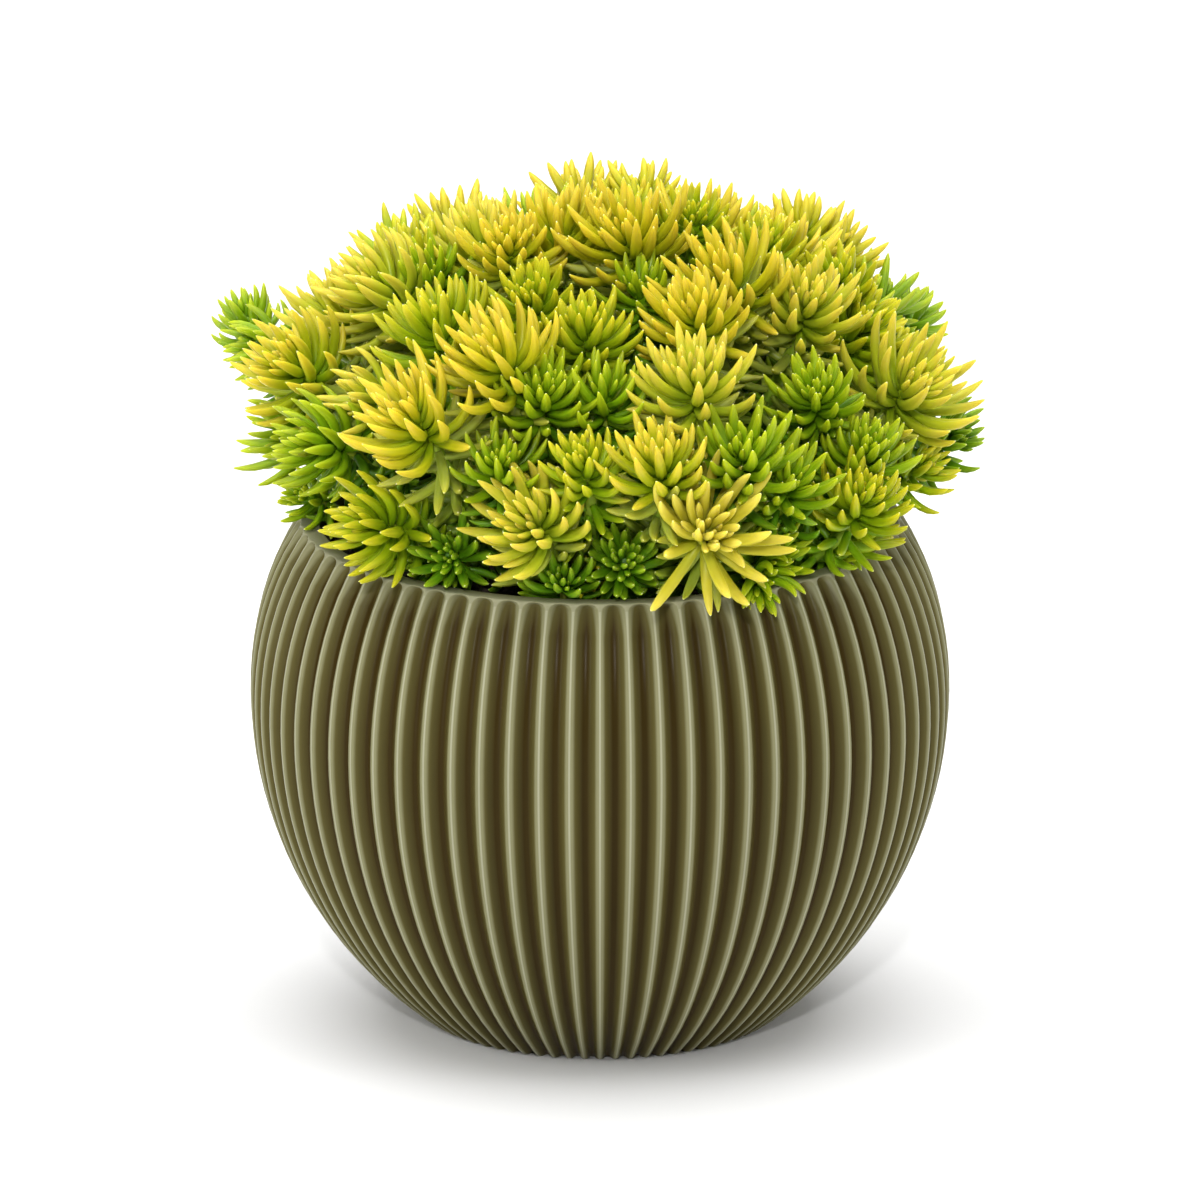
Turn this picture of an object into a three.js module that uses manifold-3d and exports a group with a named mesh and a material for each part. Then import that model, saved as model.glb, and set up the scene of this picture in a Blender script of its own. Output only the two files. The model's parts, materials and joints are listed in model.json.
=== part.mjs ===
// A golden stonecrop in a fluted globe pot, in millimetres, standing on z = 0 with the pot's axis on Z.
// The pot and the soil in it are one solid each. Every leafy stem is one more: it stands in its own hole in
// the soil and carries a rosette of needle leaves, and some also carry a smaller side shoot.

import * as THREE from 'three';
import { mergeVertices } from 'three/addons/utils/BufferGeometryUtils.js';
import Module from 'manifold-3d';

const wasm = await Module();
wasm.setup();

// Pot
const POT_RADIUS = 75;
const POT_HEIGHT = 110;
const WIDEST_HEIGHT = 72;
const RIM_RADIUS = 64;
const FOOT_RADIUS = 38;
const UPPER_BOW = 3.5;
const LOWER_BOW = 1.8;
const POT_LEVELS = [0, 12, 30, 52, 72, 92, 106.5];
const HOLLOW_LEVELS = [24, 48, 72, 92];
const HOLLOW_SIDES = 24;
const RIM_CHAMFER = 1.2;
const FLUTE_COUNT = 72;
const FLUTE_DEPTH = 1.9;
const WALL_THICKNESS = 5;
const FLOOR_THICKNESS = 6;
const MOUTH_RADIUS = 60;

// Soil
const SOIL_TOP = 104;
const SOIL_GAP = 0.4;
const ROOT_DEPTH = 8;
const HOLE_CLEARANCE = 0.3;
const HOLE_SIDES = 5;

// Plant: all stems fan out from one point under the soil, which is also the centre of the leafy dome
const FAN_CENTRE = new THREE.Vector3(0, 0, 60);
const NODE_GAP = 0.4;
const POT_GAP = 0.5;
const NECK_LENGTH = 5;
const SEED_SHARE = 0.35;
const LEANS = [1, 0.8, 0.6, 0.4, 0.2, 0];

// Leaves. A tilt is measured from the rosette's axis, where the leaf starts and where it ends.
const OUTER_TILT = { start: 1.65, end: 0.6 };
const INNER_TILT = { start: 0.35, end: 0.07 };
const HEART_LEAF_SHARE = 0.62;
const MIDDLE_SHARE = 0.52;
const LEAF_RADIUS = 1.3;
const LEAF_SLIMNESS = 0.1;
const TIP_RADIUS = 0.2;
const SPREADS = [1, 0.85, 0.7, 0.55];
const NEST_HEIGHT = 1.2;
const NEST_COSINE = 0.75;

// Kinds of rosette: the sides of its core, the core's rings as [height, radius], the height of its heart,
// how many of its bands of leaves are curved, the radius of its stem and its share of the room it is given
const LARGE = {
  sides: 5,
  rings: [[0, 1.6], [2.6, 2.3], [5, 2]],
  heart: 6.6,
  curvedBands: 1.5,
  stem: 1.5,
  room: 1,
};
const SMALL = {
  sides: 4,
  rings: [[0, 1.4], [2.3, 1.9], [4.2, 1.5]],
  heart: 5.4,
  curvedBands: 1,
  stem: 1.3,
  room: 0.7,
};

const TONES = {
  gold: '#d8bd2c',
  pale: '#cfc45c',
  lime: '#a3ad24',
  green: '#6d9a1e',
  deep: '#4c7a1a',
};

// Rosettes that show from the front, looked at from a little above. Each row holds the place of the
// rosette's foot as [right of, above] the fan centre, the same for its crown, the foot's distance from the
// fan centre (negative behind the crest of the dome), the leaf length, the tone and the kind.
const VIEW_ELEVATION = THREE.MathUtils.degToRad(17);
const SEEN_ROSETTES = [
  [[-31, 106], [-33, 115], -113, 13, 'gold', LARGE],
  [[-19, 101], [-20, 111], 108, 12, 'gold', LARGE],
  [[-4, 112], [-7, 122], -114, 13, 'gold', LARGE],
  [[7, 103], [3, 116], 108, 17, 'gold', LARGE],
  [[9, 115], [9, 122], -116, 12, 'gold', SMALL],
  [[14, 110], [14, 115], -114, 10, 'lime', SMALL],
  [[20, 108], [20, 115], 111, 10, 'lime', SMALL],
  [[29, 107], [29, 114], -113, 11, 'lime', SMALL],
  [[43, 106], [43, 114], -115, 13, 'gold', LARGE],
  [[50, 102], [54, 107], -115, 12, 'gold', SMALL],
  [[34, 101], [35, 107], 108, 11, 'lime', LARGE],
  [[50, 94], [50, 102], 108, 11, 'lime', LARGE],
  [[60, 92], [61, 98], -111, 10, 'green', SMALL],
  [[67, 90], [69, 95], -116, 8, 'green', SMALL],
  [[-42, 102], [-43, 109], -111, 10, 'lime', SMALL],
  [[-36, 96], [-37, 103], 105, 11, 'green', SMALL],
  [[-43, 94], [-56, 101], 106, 16, 'pale', LARGE],
  [[-14, 90], [-16, 98], 105, 12, 'lime', LARGE],
  [[-3, 83], [-3, 93], 104, 12, 'lime', LARGE],
  [[28, 94], [24, 105], 107, 16, 'gold', LARGE],
  [[21, 86], [19, 96], 106, 14, 'gold', LARGE],
  [[43, 89], [45, 99], 107, 14, 'pale', LARGE],
  [[20, 72], [19, 83], 106, 15, 'pale', LARGE],
  [[53, 85], [60, 92], 102, 13, 'lime', LARGE],
  [[63, 72], [71, 81], 103, 18, 'gold', LARGE],
  [[-19, 77], [-28, 88], 108, 17, 'gold', LARGE],
  [[-62, 77], [-72, 84], 104, 15, 'gold', LARGE],
  [[-37, 65], [-45, 75], 106, 16, 'gold', LARGE],
  [[-12, 70], [-12, 78], 101, 12, 'green', LARGE],
  [[1, 70], [1, 79], 100, 10, 'green', SMALL],
  [[10, 93], [7, 97], 101, 10, 'green', SMALL],
  [[46, 70], [45, 77], 101, 11, 'green', LARGE],
  [[30, 57], [30, 66], 102, 14, 'green', LARGE],
  [[13, 55], [11, 66], 104, 14, 'gold', LARGE],
  [[-21, 56], [-21, 63], 97, 10, 'green', SMALL],
  [[-3, 55], [-5, 63], 100, 10, 'lime', LARGE],
  [[56, 58], [57, 66], 98, 11, 'green', LARGE],
  [[54, 48], [57, 56], 95, 12, 'lime', LARGE],
  [[39, 52], [42, 58], 97, 11, 'green', SMALL],
  [[-56, 62], [-67, 64], 96, 13, 'lime', LARGE],
  [[-62, 66], [-74, 66], 91, 13, 'green', SMALL],
  [[-44, 45], [-55, 46], 88, 13, 'lime', LARGE],
  [[-12, 44], [-18, 49], 90, 15, 'gold', LARGE],
  [[25, 47], [24, 44], 90, 14, 'pale', LARGE],
  [[5, 38], [5, 36], 80, 9, 'deep', LARGE],
  [[-9, 34], [-5, 30], 76, 9, 'deep', SMALL],
  [[-31, 40], [-32, 36], 80, 9, 'deep', SMALL],
  [[34, 40], [37, 34], 80, 9, 'green', SMALL],
  [[50, 44], [57, 44], 80, 9, 'green', SMALL],
  [[-75, 88], [-79, 97], -117, 9, 'green', SMALL],
  [[-70, 85], [-80, 83], -110.3, 9, 'green', SMALL],
  [[72, 63], [80, 67], 98, 10, 'deep', SMALL],
  [[65, 58], [70, 54], 94, 8, 'lime', SMALL],
  [[-60, 52], [-65, 51], 82, 8, 'green', SMALL],
  [[-28, 88], [-31, 93], 98, 9, 'deep', SMALL],
  [[-46, 72], [-55, 73], 98, 10, 'pale', SMALL],
];
const CROWN_RISE = 0.9;
const CROWN_BASE = 2;

// Rosettes on the sides and back, wherever a spiral over the dome meets a bare spot
const SPIRAL_TURN = Math.PI * (3 - Math.sqrt(5));
const SPIRAL_STEPS = 1500;
const SPIRAL_EDGE = THREE.MathUtils.degToRad(47);
const BARE_ANGLE = THREE.MathUtils.degToRad(9);
const DOME_REACH = 106;
const EDGE_DROP = 20;
const LIFT = 0.3;
const BACK_TONES = ['gold', 'lime', 'pale', 'green', 'gold', 'lime'];
const BACK_LEAF = { gold: 16, lime: 14, pale: 15, green: 12 };

// A side shoot leaves its parent's stem this far up from the soil to the neck
const FORK_SHARE = 0.3;
const FORK_CLEARANCE = 3;
const FORK_REACH = THREE.MathUtils.degToRad(16);
const FORK_RADIUS = 0.9;
const PATH_SAMPLES = 8;

const UP = new THREE.Vector3(0, 0, 1);

function lerp(from, to, share) {
  return from + (to - from) * share;
}

// Radius over the flute crests at a height
function potRadius(z) {
  const above = z > WIDEST_HEIGHT;
  const bow = above ? UPPER_BOW : LOWER_BOW;
  const end = above ? RIM_RADIUS : FOOT_RADIUS;
  const reach = above ? POT_HEIGHT - WIDEST_HEIGHT : WIDEST_HEIGHT;
  const share = (z - WIDEST_HEIGHT) / reach;
  const drop = 1 - (end / POT_RADIUS) ** bow;
  return POT_RADIUS * (1 - drop * share * share) ** (1 / bow);
}

function toManifold(geometry) {
  const bare = geometry.clone();
  bare.deleteAttribute('normal');
  bare.deleteAttribute('uv');
  const merged = mergeVertices(bare, 1e-4);
  return new wasm.Manifold(new wasm.Mesh({
    numProp: 3,
    vertProperties: merged.attributes.position.array,
    triVerts: merged.index.array,
  }));
}

function toGeometry(solid) {
  const { vertProperties, triVerts, numProp } = solid.getMesh();
  const geometry = new THREE.BufferGeometry();
  const positions = new Float32Array((vertProperties.length / numProp) * 3);
  for (let i = 0; i * numProp < vertProperties.length; i += 1) {
    positions.set(vertProperties.subarray(i * numProp, i * numProp + 3), i * 3);
  }
  geometry.setAttribute('position', new THREE.BufferAttribute(positions, 3));
  geometry.setIndex([...triVerts]);
  geometry.computeVertexNormals();
  return geometry;
}

// A closed surface that is put together point by point and face by face
class Skin {
  constructor() {
    this.points = [];
    this.faces = [];
  }

  add(point) {
    this.points.push(point.clone());
    return this.points.length - 1;
  }

  face(a, b, c) {
    this.faces.push([a, b, c]);
  }

  centroid(face) {
    const middle = new THREE.Vector3();
    face.forEach((corner) => middle.add(this.points[corner]));
    return middle.divideScalar(face.length);
  }

  // The band between two rings with equally many points, the upper one turned by half a step
  band(lower, upper) {
    const faces = [];
    lower.forEach((corner, j) => {
      const next = (j + 1) % lower.length;
      faces.push([corner, lower[next], upper[j]]);
      faces.push([upper[j], lower[next], upper[next]]);
    });
    return faces;
  }

  cap(ring) {
    for (let j = 1; j < ring.length - 1; j += 1) {
      this.face(ring[0], ring[j + 1], ring[j]);
    }
  }

  geometry() {
    const geometry = new THREE.BufferGeometry();
    const numbers = this.points.flatMap((point) => point.toArray());
    geometry.setAttribute('position', new THREE.Float32BufferAttribute(numbers, 3));
    geometry.setIndex(this.faces.flat());
    geometry.computeVertexNormals();
    return geometry;
  }
}

// Fluted pot

function flutedRing(skin, radius, depth, z) {
  const step = (2 * Math.PI) / FLUTE_COUNT;
  const ring = [];
  for (let flute = 0; flute < FLUTE_COUNT; flute += 1) {
    const crest = flute * step - Math.PI / 2;
    const corners = [
      [crest, radius],
      [crest + step / 2, radius - depth],
    ];
    corners.forEach(([angle, reach]) => {
      ring.push(skin.add(new THREE.Vector3(reach * Math.cos(angle), reach * Math.sin(angle), z)));
    });
  }
  return ring;
}

function flutedBody() {
  const skin = new Skin();
  const rings = POT_LEVELS.map((z) => flutedRing(skin, potRadius(z), FLUTE_DEPTH, z));
  const shoulder = POT_HEIGHT - RIM_CHAMFER;
  rings.push(flutedRing(skin, potRadius(shoulder), 0, shoulder));
  rings.push(flutedRing(skin, RIM_RADIUS - RIM_CHAMFER, 0, POT_HEIGHT));
  for (let level = 1; level < rings.length; level += 1) {
    const lower = rings[level - 1];
    const upper = rings[level];
    lower.forEach((corner, j) => {
      const next = (j + 1) % lower.length;
      skin.face(corner, lower[next], upper[next]);
      skin.face(corner, upper[next], upper[j]);
    });
  }
  const bottom = skin.add(new THREE.Vector3(0, 0, 0));
  const top = skin.add(new THREE.Vector3(0, 0, POT_HEIGHT));
  const foot = rings[0];
  const rim = rings[rings.length - 1];
  foot.forEach((corner, j) => {
    const next = (j + 1) % foot.length;
    skin.face(foot[next], corner, bottom);
    skin.face(rim[j], rim[next], top);
  });
  return skin.geometry();
}

// The hollow's outline up to a height, drawn in from the pot's outside by the wall and a further inset
function hollowOutline(inset, top) {
  const floor = FLOOR_THICKNESS + inset;
  const outline = [new THREE.Vector2(0, floor)];
  [floor, ...HOLLOW_LEVELS].forEach((z) => {
    outline.push(new THREE.Vector2(potRadius(z) - WALL_THICKNESS - inset, z));
  });
  outline.push(new THREE.Vector2(MOUTH_RADIUS - inset, SOIL_TOP));
  if (top > SOIL_TOP) {
    outline.push(new THREE.Vector2(MOUTH_RADIUS - inset, top));
  }
  outline.push(new THREE.Vector2(0, top));
  return outline;
}

function potGeometry() {
  const hollow = new THREE.LatheGeometry(hollowOutline(0, POT_HEIGHT + ROOT_DEPTH), HOLLOW_SIDES);
  hollow.rotateX(Math.PI / 2);
  return toGeometry(toManifold(flutedBody()).subtract(toManifold(hollow)));
}

// Rosettes: where each one stands

// A step across and up the front view, and on towards the viewer until it is as long as asked
function seenStep(across, above, length) {
  const near = Math.sqrt(Math.max(0, length * length - across * across - above * above)) * Math.sign(length);
  const sin = Math.sin(VIEW_ELEVATION);
  const cos = Math.cos(VIEW_ELEVATION);
  return new THREE.Vector3(across, above * sin - near * cos, above * cos + near * sin);
}

function rosette(foot, crown, leaf, tone, kind) {
  const axis = crown.clone().sub(foot).normalize();
  const seed = foot.clone().addScaledVector(axis, leaf * SEED_SHARE);
  return { foot, axis, leaf, tone, kind, toward: seed.normalize(), room: leaf * kind.room, placed: [] };
}

function seenRosettes() {
  return SEEN_ROSETTES.map(([from, to, reach, leaf, tone, kind]) => {
    const foot = seenStep(...from, reach);
    const rise = Math.sign(reach) * (CROWN_BASE + leaf * CROWN_RISE);
    const crown = foot.clone().add(seenStep(to[0] - from[0], to[1] - from[1], rise));
    return rosette(foot, crown, leaf, tone, kind);
  });
}

function addBackRosettes(rosettes) {
  let count = 0;
  for (let step = 1; step <= SPIRAL_STEPS; step += 1) {
    const polar = SPIRAL_EDGE * Math.sqrt(step / SPIRAL_STEPS);
    const toward = new THREE.Vector3().setFromSphericalCoords(1, polar, step * SPIRAL_TURN);
    toward.set(toward.x, toward.z, toward.y);
    if (rosettes.every((other) => other.toward.angleTo(toward) > BARE_ANGLE)) {
      const tone = BACK_TONES[count % BACK_TONES.length];
      const reach = DOME_REACH - EDGE_DROP * (polar / SPIRAL_EDGE) ** 6;
      const foot = toward.clone().multiplyScalar(reach);
      const crown = foot.clone().addScaledVector(toward, 1).addScaledVector(UP, LIFT);
      rosettes.push(rosette(foot, crown, BACK_LEAF[tone], tone, tone === 'green' ? SMALL : LARGE));
      count += 1;
    }
  }
}

// Each rosette keeps to its own wedge of space: planes through the fan centre part it from every other one
function setBorders(rosettes) {
  rosettes.forEach((own) => {
    own.borders = new Map();
    rosettes.forEach((other) => {
      if (other !== own) {
        const turn = own.toward.angleTo(other.toward) * (own.room / (own.room + other.room));
        const hinge = own.toward.clone().cross(other.toward).normalize();
        const border = own.toward.clone().applyAxisAngle(hinge, turn);
        own.borders.set(other, hinge.cross(border).normalize());
      }
    });
  });
}

function insideBorders(own, point, radius, except) {
  for (const [other, normal] of own.borders) {
    if (other !== except && normal.dot(point) > -radius - NODE_GAP / 2) {
      return false;
    }
  }
  return true;
}

function clearOfPot(point, radius) {
  const z = point.z + FAN_CENTRE.z;
  const reach = Math.hypot(point.x, point.y);
  if (z - radius > POT_HEIGHT + POT_GAP) {
    return true;
  }
  const outside = reach - radius > potRadius(z) + POT_GAP;
  const inside = reach + radius < MOUTH_RADIUS - POT_GAP && z - radius > SOIL_TOP + POT_GAP;
  return outside || inside;
}

// The neck under the rosette bends towards its axis, as far as its wedge lets it
function settle(own) {
  const straight = own.toward.clone().multiplyScalar(own.foot.length() - NECK_LENGTH);
  const rise = own.kind.heart;
  const broad = own.kind.rings[1][1];
  for (const lean of LEANS) {
    const axis = own.toward.clone().lerp(own.axis, lean).normalize();
    const foot = own.toward.clone().multiplyScalar(own.foot.length()).lerp(own.foot, lean);
    const neck = foot.clone().addScaledVector(axis, -NECK_LENGTH).lerp(straight, 1 - lean);
    const heart = foot.clone().addScaledVector(axis, rise);
    const places = [neck, foot, heart];
    const fits = places.every((point) => insideBorders(own, point, broad) && clearOfPot(point, broad));
    if (fits || lean === 0) {
      Object.assign(own, { axis, foot, neck });
      return;
    }
  }
}

// Leaves

// How far out and how far up a leaf has come, at a share of its length
function leafReach(rosetteShare, length, share) {
  const start = lerp(OUTER_TILT.start, INNER_TILT.start, rosetteShare);
  const bend = lerp(OUTER_TILT.end, INNER_TILT.end, rosetteShare) - start;
  const out = (Math.cos(start) - Math.cos(start + bend * share)) / bend;
  const up = (Math.sin(start + bend * share) - Math.sin(start)) / bend;
  return [out * length, up * length];
}

function leafRadius(own) {
  return Math.min(LEAF_RADIUS, own.leaf * LEAF_SLIMNESS);
}

// A leaf spreads no further than those right below it, or it would cross them
function nestLimit(own, out, height) {
  const below = own.placed.filter((leaf) => leaf.height < height - NEST_HEIGHT);
  const near = below.filter((leaf) => leaf.out.dot(out) > NEST_COSINE);
  return Math.min(1, ...near.map((leaf) => leaf.spread));
}

// The leaf's middle and tip, drawn in towards the axis until it stays in its wedge and off the pot
function leafPoints(own, root) {
  const radius = leafRadius(own);
  const height = root.clone().sub(own.foot).dot(own.axis);
  const share = height / own.kind.heart;
  const length = own.leaf * lerp(1, HEART_LEAF_SHARE, share);
  const out = root.clone().sub(own.foot).addScaledVector(own.axis, -height).normalize();
  const limit = nestLimit(own, out, height);
  for (const spread of SPREADS.filter((value) => value <= limit)) {
    const [middle, tip] = [MIDDLE_SHARE, 1].map((along) => {
      const [reach, rise] = leafReach(share, length, along);
      return root.clone().addScaledVector(out, reach * spread).addScaledVector(own.axis, rise);
    });
    const between = middle.clone().lerp(tip, 0.5);
    const fits = insideBorders(own, middle, radius) && insideBorders(own, tip, TIP_RADIUS)
      && clearOfPot(middle, radius) && clearOfPot(between, radius) && clearOfPot(tip, TIP_RADIUS);
    if (fits) {
      own.placed.push({ out, height, spread });
      return { middle, tip };
    }
  }
  return null;
}

// A face of the core is drawn out into a three-sided leaf, bent at its middle where it is curved
function growLeaf(skin, face, own, curved) {
  const root = skin.centroid(face);
  const leaf = leafPoints(own, root);
  if (!leaf) {
    skin.face(...face);
    return;
  }
  const tip = skin.add(leaf.tip);
  let ring = face;
  if (curved) {
    const along = leaf.tip.clone().sub(root).normalize();
    ring = face.map((corner) => {
      const side = skin.points[corner].clone().sub(root);
      side.addScaledVector(along, -side.dot(along)).setLength(leafRadius(own));
      return skin.add(leaf.middle.clone().add(side));
    });
    face.forEach((corner, j) => {
      const next = (j + 1) % 3;
      skin.face(corner, face[next], ring[next]);
      skin.face(corner, ring[next], ring[j]);
    });
  }
  ring.forEach((corner, j) => skin.face(corner, ring[(j + 1) % 3], tip));
}

// Stem and rosette in one skin. The rings turn by half a step each, so all faces between them are triangles.
function leafyStem(own, start, startRadius) {
  const { sides, rings, heart, curvedBands, stem } = own.kind;
  const path = [
    { at: start, radius: startRadius },
    { at: own.neck, radius: stem },
    ...rings.map(([height, radius]) => ({ at: own.foot.clone().addScaledVector(own.axis, height), radius })),
  ];
  const skin = new Skin();
  const firstDirection = path[1].at.clone().sub(path[0].at).normalize();
  let side = new THREE.Vector3(1, 0, 0).cross(firstDirection).normalize();
  const loops = path.map(({ at, radius }, k) => {
    const ahead = k < 2 ? path[k + 1].at.clone().sub(at).normalize() : own.axis;
    side = side.clone().addScaledVector(ahead, -side.dot(ahead)).normalize();
    const across = ahead.clone().cross(side);
    return Array.from({ length: sides }, (_, j) => {
      const angle = ((j + k / 2) * 2 * Math.PI) / sides;
      const spoke = side.clone().multiplyScalar(Math.cos(angle)).addScaledVector(across, Math.sin(angle));
      return skin.add(at.clone().addScaledVector(spoke, radius));
    });
  });
  skin.cap(loops[0]);
  const coreStart = loops.length - rings.length;
  for (let k = 1; k < loops.length; k += 1) {
    skin.band(loops[k - 1], loops[k]).forEach((face, j) => {
      const bandsDone = k - 1 - coreStart + (j % 2 ? 0.5 : 0);
      if (k <= coreStart) {
        skin.face(...face);
      } else {
        growLeaf(skin, face, own, bandsDone < curvedBands);
      }
    });
  }
  const top = skin.add(own.foot.clone().addScaledVector(own.axis, heart));
  const last = loops[loops.length - 1];
  last.forEach((corner, j) => growLeaf(skin, [corner, last[(j + 1) % sides], top], own, false));
  return skin.geometry().translate(...FAN_CENTRE.toArray());
}

// Stems in the soil

function soilDistance(own, depth) {
  return (SOIL_TOP - depth - FAN_CENTRE.z) / own.toward.z;
}

function rootPoint(own) {
  return own.toward.clone().multiplyScalar(soilDistance(own, ROOT_DEPTH));
}

function forkPoint(parent) {
  const root = rootPoint(parent);
  const buried = (SOIL_TOP + FORK_CLEARANCE - FAN_CENTRE.z - root.z) / (parent.neck.z - root.z);
  return root.lerp(parent.neck, lerp(buried, 1, FORK_SHARE));
}

// A side shoot crosses from its parent's wedge into its own, and may touch no third one
function forkIsClear(parent, shoot) {
  const fork = forkPoint(parent);
  const border = parent.borders.get(shoot);
  const { stem } = shoot.kind;
  for (let k = 0; k <= PATH_SAMPLES; k += 1) {
    const point = fork.clone().lerp(shoot.neck, k / PATH_SAMPLES);
    const beyond = border.dot(point);
    const inParent = beyond > stem || insideBorders(parent, point, stem, shoot);
    const inShoot = beyond < -stem || insideBorders(shoot, point, stem, parent);
    if (!inParent || !inShoot || !clearOfPot(point, stem)) {
      return false;
    }
  }
  return true;
}

function pairSideShoots(rosettes) {
  const shoots = rosettes.filter((own) => own.kind === SMALL);
  shoots.forEach((shoot) => {
    const parents = rosettes
      .filter((own) => own.kind === LARGE && !own.shoot && own.toward.angleTo(shoot.toward) < FORK_REACH)
      .filter((own) => forkIsClear(own, shoot))
      .sort((a, b) => a.toward.angleTo(shoot.toward) - b.toward.angleTo(shoot.toward));
    if (parents.length) {
      parents[0].shoot = shoot;
      shoot.parent = parents[0];
    }
  });
}

function plantGeometry(own) {
  const stem = toManifold(leafyStem(own, rootPoint(own), own.kind.stem));
  if (!own.shoot) {
    return toGeometry(stem);
  }
  return toGeometry(stem.add(toManifold(leafyStem(own.shoot, forkPoint(own), FORK_RADIUS))));
}

function stemHole(own) {
  const root = rootPoint(own);
  const rise = own.neck.clone().sub(root).normalize();
  const length = (2 * ROOT_DEPTH) / rise.z;
  const radius = (own.kind.stem + HOLE_CLEARANCE) / Math.cos(Math.PI / HOLE_SIDES);
  const hole = new THREE.CylinderGeometry(radius, radius, length, HOLE_SIDES);
  hole.applyQuaternion(new THREE.Quaternion().setFromUnitVectors(new THREE.Vector3(0, 1, 0), rise));
  const middle = root.addScaledVector(rise, length / 2 - HOLE_CLEARANCE).add(FAN_CENTRE);
  return toManifold(hole.translate(...middle.toArray()));
}

function soilGeometry(rooted) {
  const body = new THREE.LatheGeometry(hollowOutline(SOIL_GAP, SOIL_TOP), HOLLOW_SIDES);
  body.rotateX(Math.PI / 2);
  return toGeometry(rooted.reduce((soil, own) => soil.subtract(stemHole(own)), toManifold(body)));
}

// The whole object

function piece(name, geometry, colour, roughness) {
  const material = new THREE.MeshStandardMaterial({ color: colour, roughness, metalness: 0 });
  const mesh = new THREE.Mesh(geometry, material);
  mesh.name = name;
  return mesh;
}

const rosettes = seenRosettes();
addBackRosettes(rosettes);
setBorders(rosettes);
rosettes.forEach(settle);
pairSideShoots(rosettes);
const rooted = rosettes.filter((own) => !own.parent);

const plantInPot = new THREE.Group();
plantInPot.add(piece('pot', potGeometry(), '#6f6c4c', 0.35));
plantInPot.add(piece('soil', soilGeometry(rooted), '#1c1814', 0.95));
rooted.forEach((own, k) => {
  const name = `stem_${String(k + 1).padStart(2, '0')}`;
  plantInPot.add(piece(name, plantGeometry(own), TONES[own.tone], 0.45));
});

export default plantInPot;
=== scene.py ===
"""Dresses a golden stonecrop in a fluted globe pot: the pot, its soil and every stem, in a pale studio."""

import json
import math
import random

import bmesh
import bpy
import numpy as np
from bpy.props import FloatProperty, FloatVectorProperty, IntProperty, PointerProperty
from mathutils import Matrix, Vector, noise
from mathutils.kdtree import KDTree

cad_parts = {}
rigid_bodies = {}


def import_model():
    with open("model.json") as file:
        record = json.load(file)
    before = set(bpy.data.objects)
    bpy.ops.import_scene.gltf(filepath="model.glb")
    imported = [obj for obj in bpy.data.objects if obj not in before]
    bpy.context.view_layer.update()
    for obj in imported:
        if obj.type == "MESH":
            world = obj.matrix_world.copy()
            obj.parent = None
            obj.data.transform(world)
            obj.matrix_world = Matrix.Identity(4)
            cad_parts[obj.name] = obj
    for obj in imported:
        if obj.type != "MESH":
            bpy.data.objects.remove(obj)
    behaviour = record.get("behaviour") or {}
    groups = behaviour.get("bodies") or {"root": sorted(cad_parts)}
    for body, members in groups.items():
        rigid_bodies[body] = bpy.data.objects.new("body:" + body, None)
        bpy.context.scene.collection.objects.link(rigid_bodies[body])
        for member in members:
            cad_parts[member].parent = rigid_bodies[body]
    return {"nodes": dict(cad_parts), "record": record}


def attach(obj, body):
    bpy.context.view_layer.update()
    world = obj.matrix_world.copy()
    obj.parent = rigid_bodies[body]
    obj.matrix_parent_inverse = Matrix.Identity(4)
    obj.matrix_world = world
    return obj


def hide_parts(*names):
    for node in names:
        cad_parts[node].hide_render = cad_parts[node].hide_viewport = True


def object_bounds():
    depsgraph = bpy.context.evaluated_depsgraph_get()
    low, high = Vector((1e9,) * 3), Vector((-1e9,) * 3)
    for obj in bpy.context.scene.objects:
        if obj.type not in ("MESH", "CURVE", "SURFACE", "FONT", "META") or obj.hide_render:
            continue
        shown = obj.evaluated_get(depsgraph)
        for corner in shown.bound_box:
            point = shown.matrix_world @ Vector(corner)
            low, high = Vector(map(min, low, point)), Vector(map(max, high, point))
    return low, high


bl_info = {
    "name": "Potted Stonecrop",
    "version": (1, 0, 0),
    "blender": (4, 5, 0),
    "location": "3D View > Sidebar > Stonecrop",
    "description": "Builds a golden stonecrop in a fluted globe pot around its solid model",
    "category": "Add Mesh",
}

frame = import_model()
CAD_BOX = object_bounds()

MM = 0.001
UP = Vector((0, 0, 1))
GOLDEN_TURN = math.pi * (3 - math.sqrt(5))

# Pot, in millimetres, as in the solid model
POT_RADIUS = 75
POT_HEIGHT = 110
WIDEST_HEIGHT = 72
RIM_RADIUS = 64
FOOT_RADIUS = 38
UPPER_BOW = 3.5
LOWER_BOW = 1.8
FLUTE_COUNT = 72
WALL_THICKNESS = 5
FLOOR_THICKNESS = 6
MOUTH_RADIUS = 60

# Flutes: how broad a crest is low down and at the rim, how flat the middle of a flute is, and where the
# wall has its points, from the middle of a crest (0) to the middle of a flute (1)
CREST_BREADTH = 2.8
RIM_CREST_BREADTH = 2.2
FLUTE_FLATNESS = 5
FLUTE_SHARES = (0, 0.06, 0.13, 0.24, 0.36, 0.48, 0.6, 0.76, 1)

# Each flute ends in an arch: how far its top lies below the pot's, and its rise and breadth in half pitches
ARCH_DROP = 0.1
ARCH_RISE = 0.5
ARCH_BREADTH = 0.82

# The paint follows the same shares: that of the plain rim, which gets the crest's colour with its painted
# sheen, the least one round an arch, where the painted highlight line is fainter, the height below the arch
# over which a flute's painted shade fades to paler, and how much of its share is left there
PLAIN_SHARE = 0.1
ARCH_SHARE = 0.06
PALE_HEIGHT = 4
PALEST = 0.55

# Rounded edges: of the rim, of its lip, and of the foot, inwards and upwards
RIM_ROUNDING = 0.5
LIP_ROUNDING = 0.8
FOOT_ROUNDING = 0.7
FOOT_ROUNDING_HEIGHT = 0.8

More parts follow.
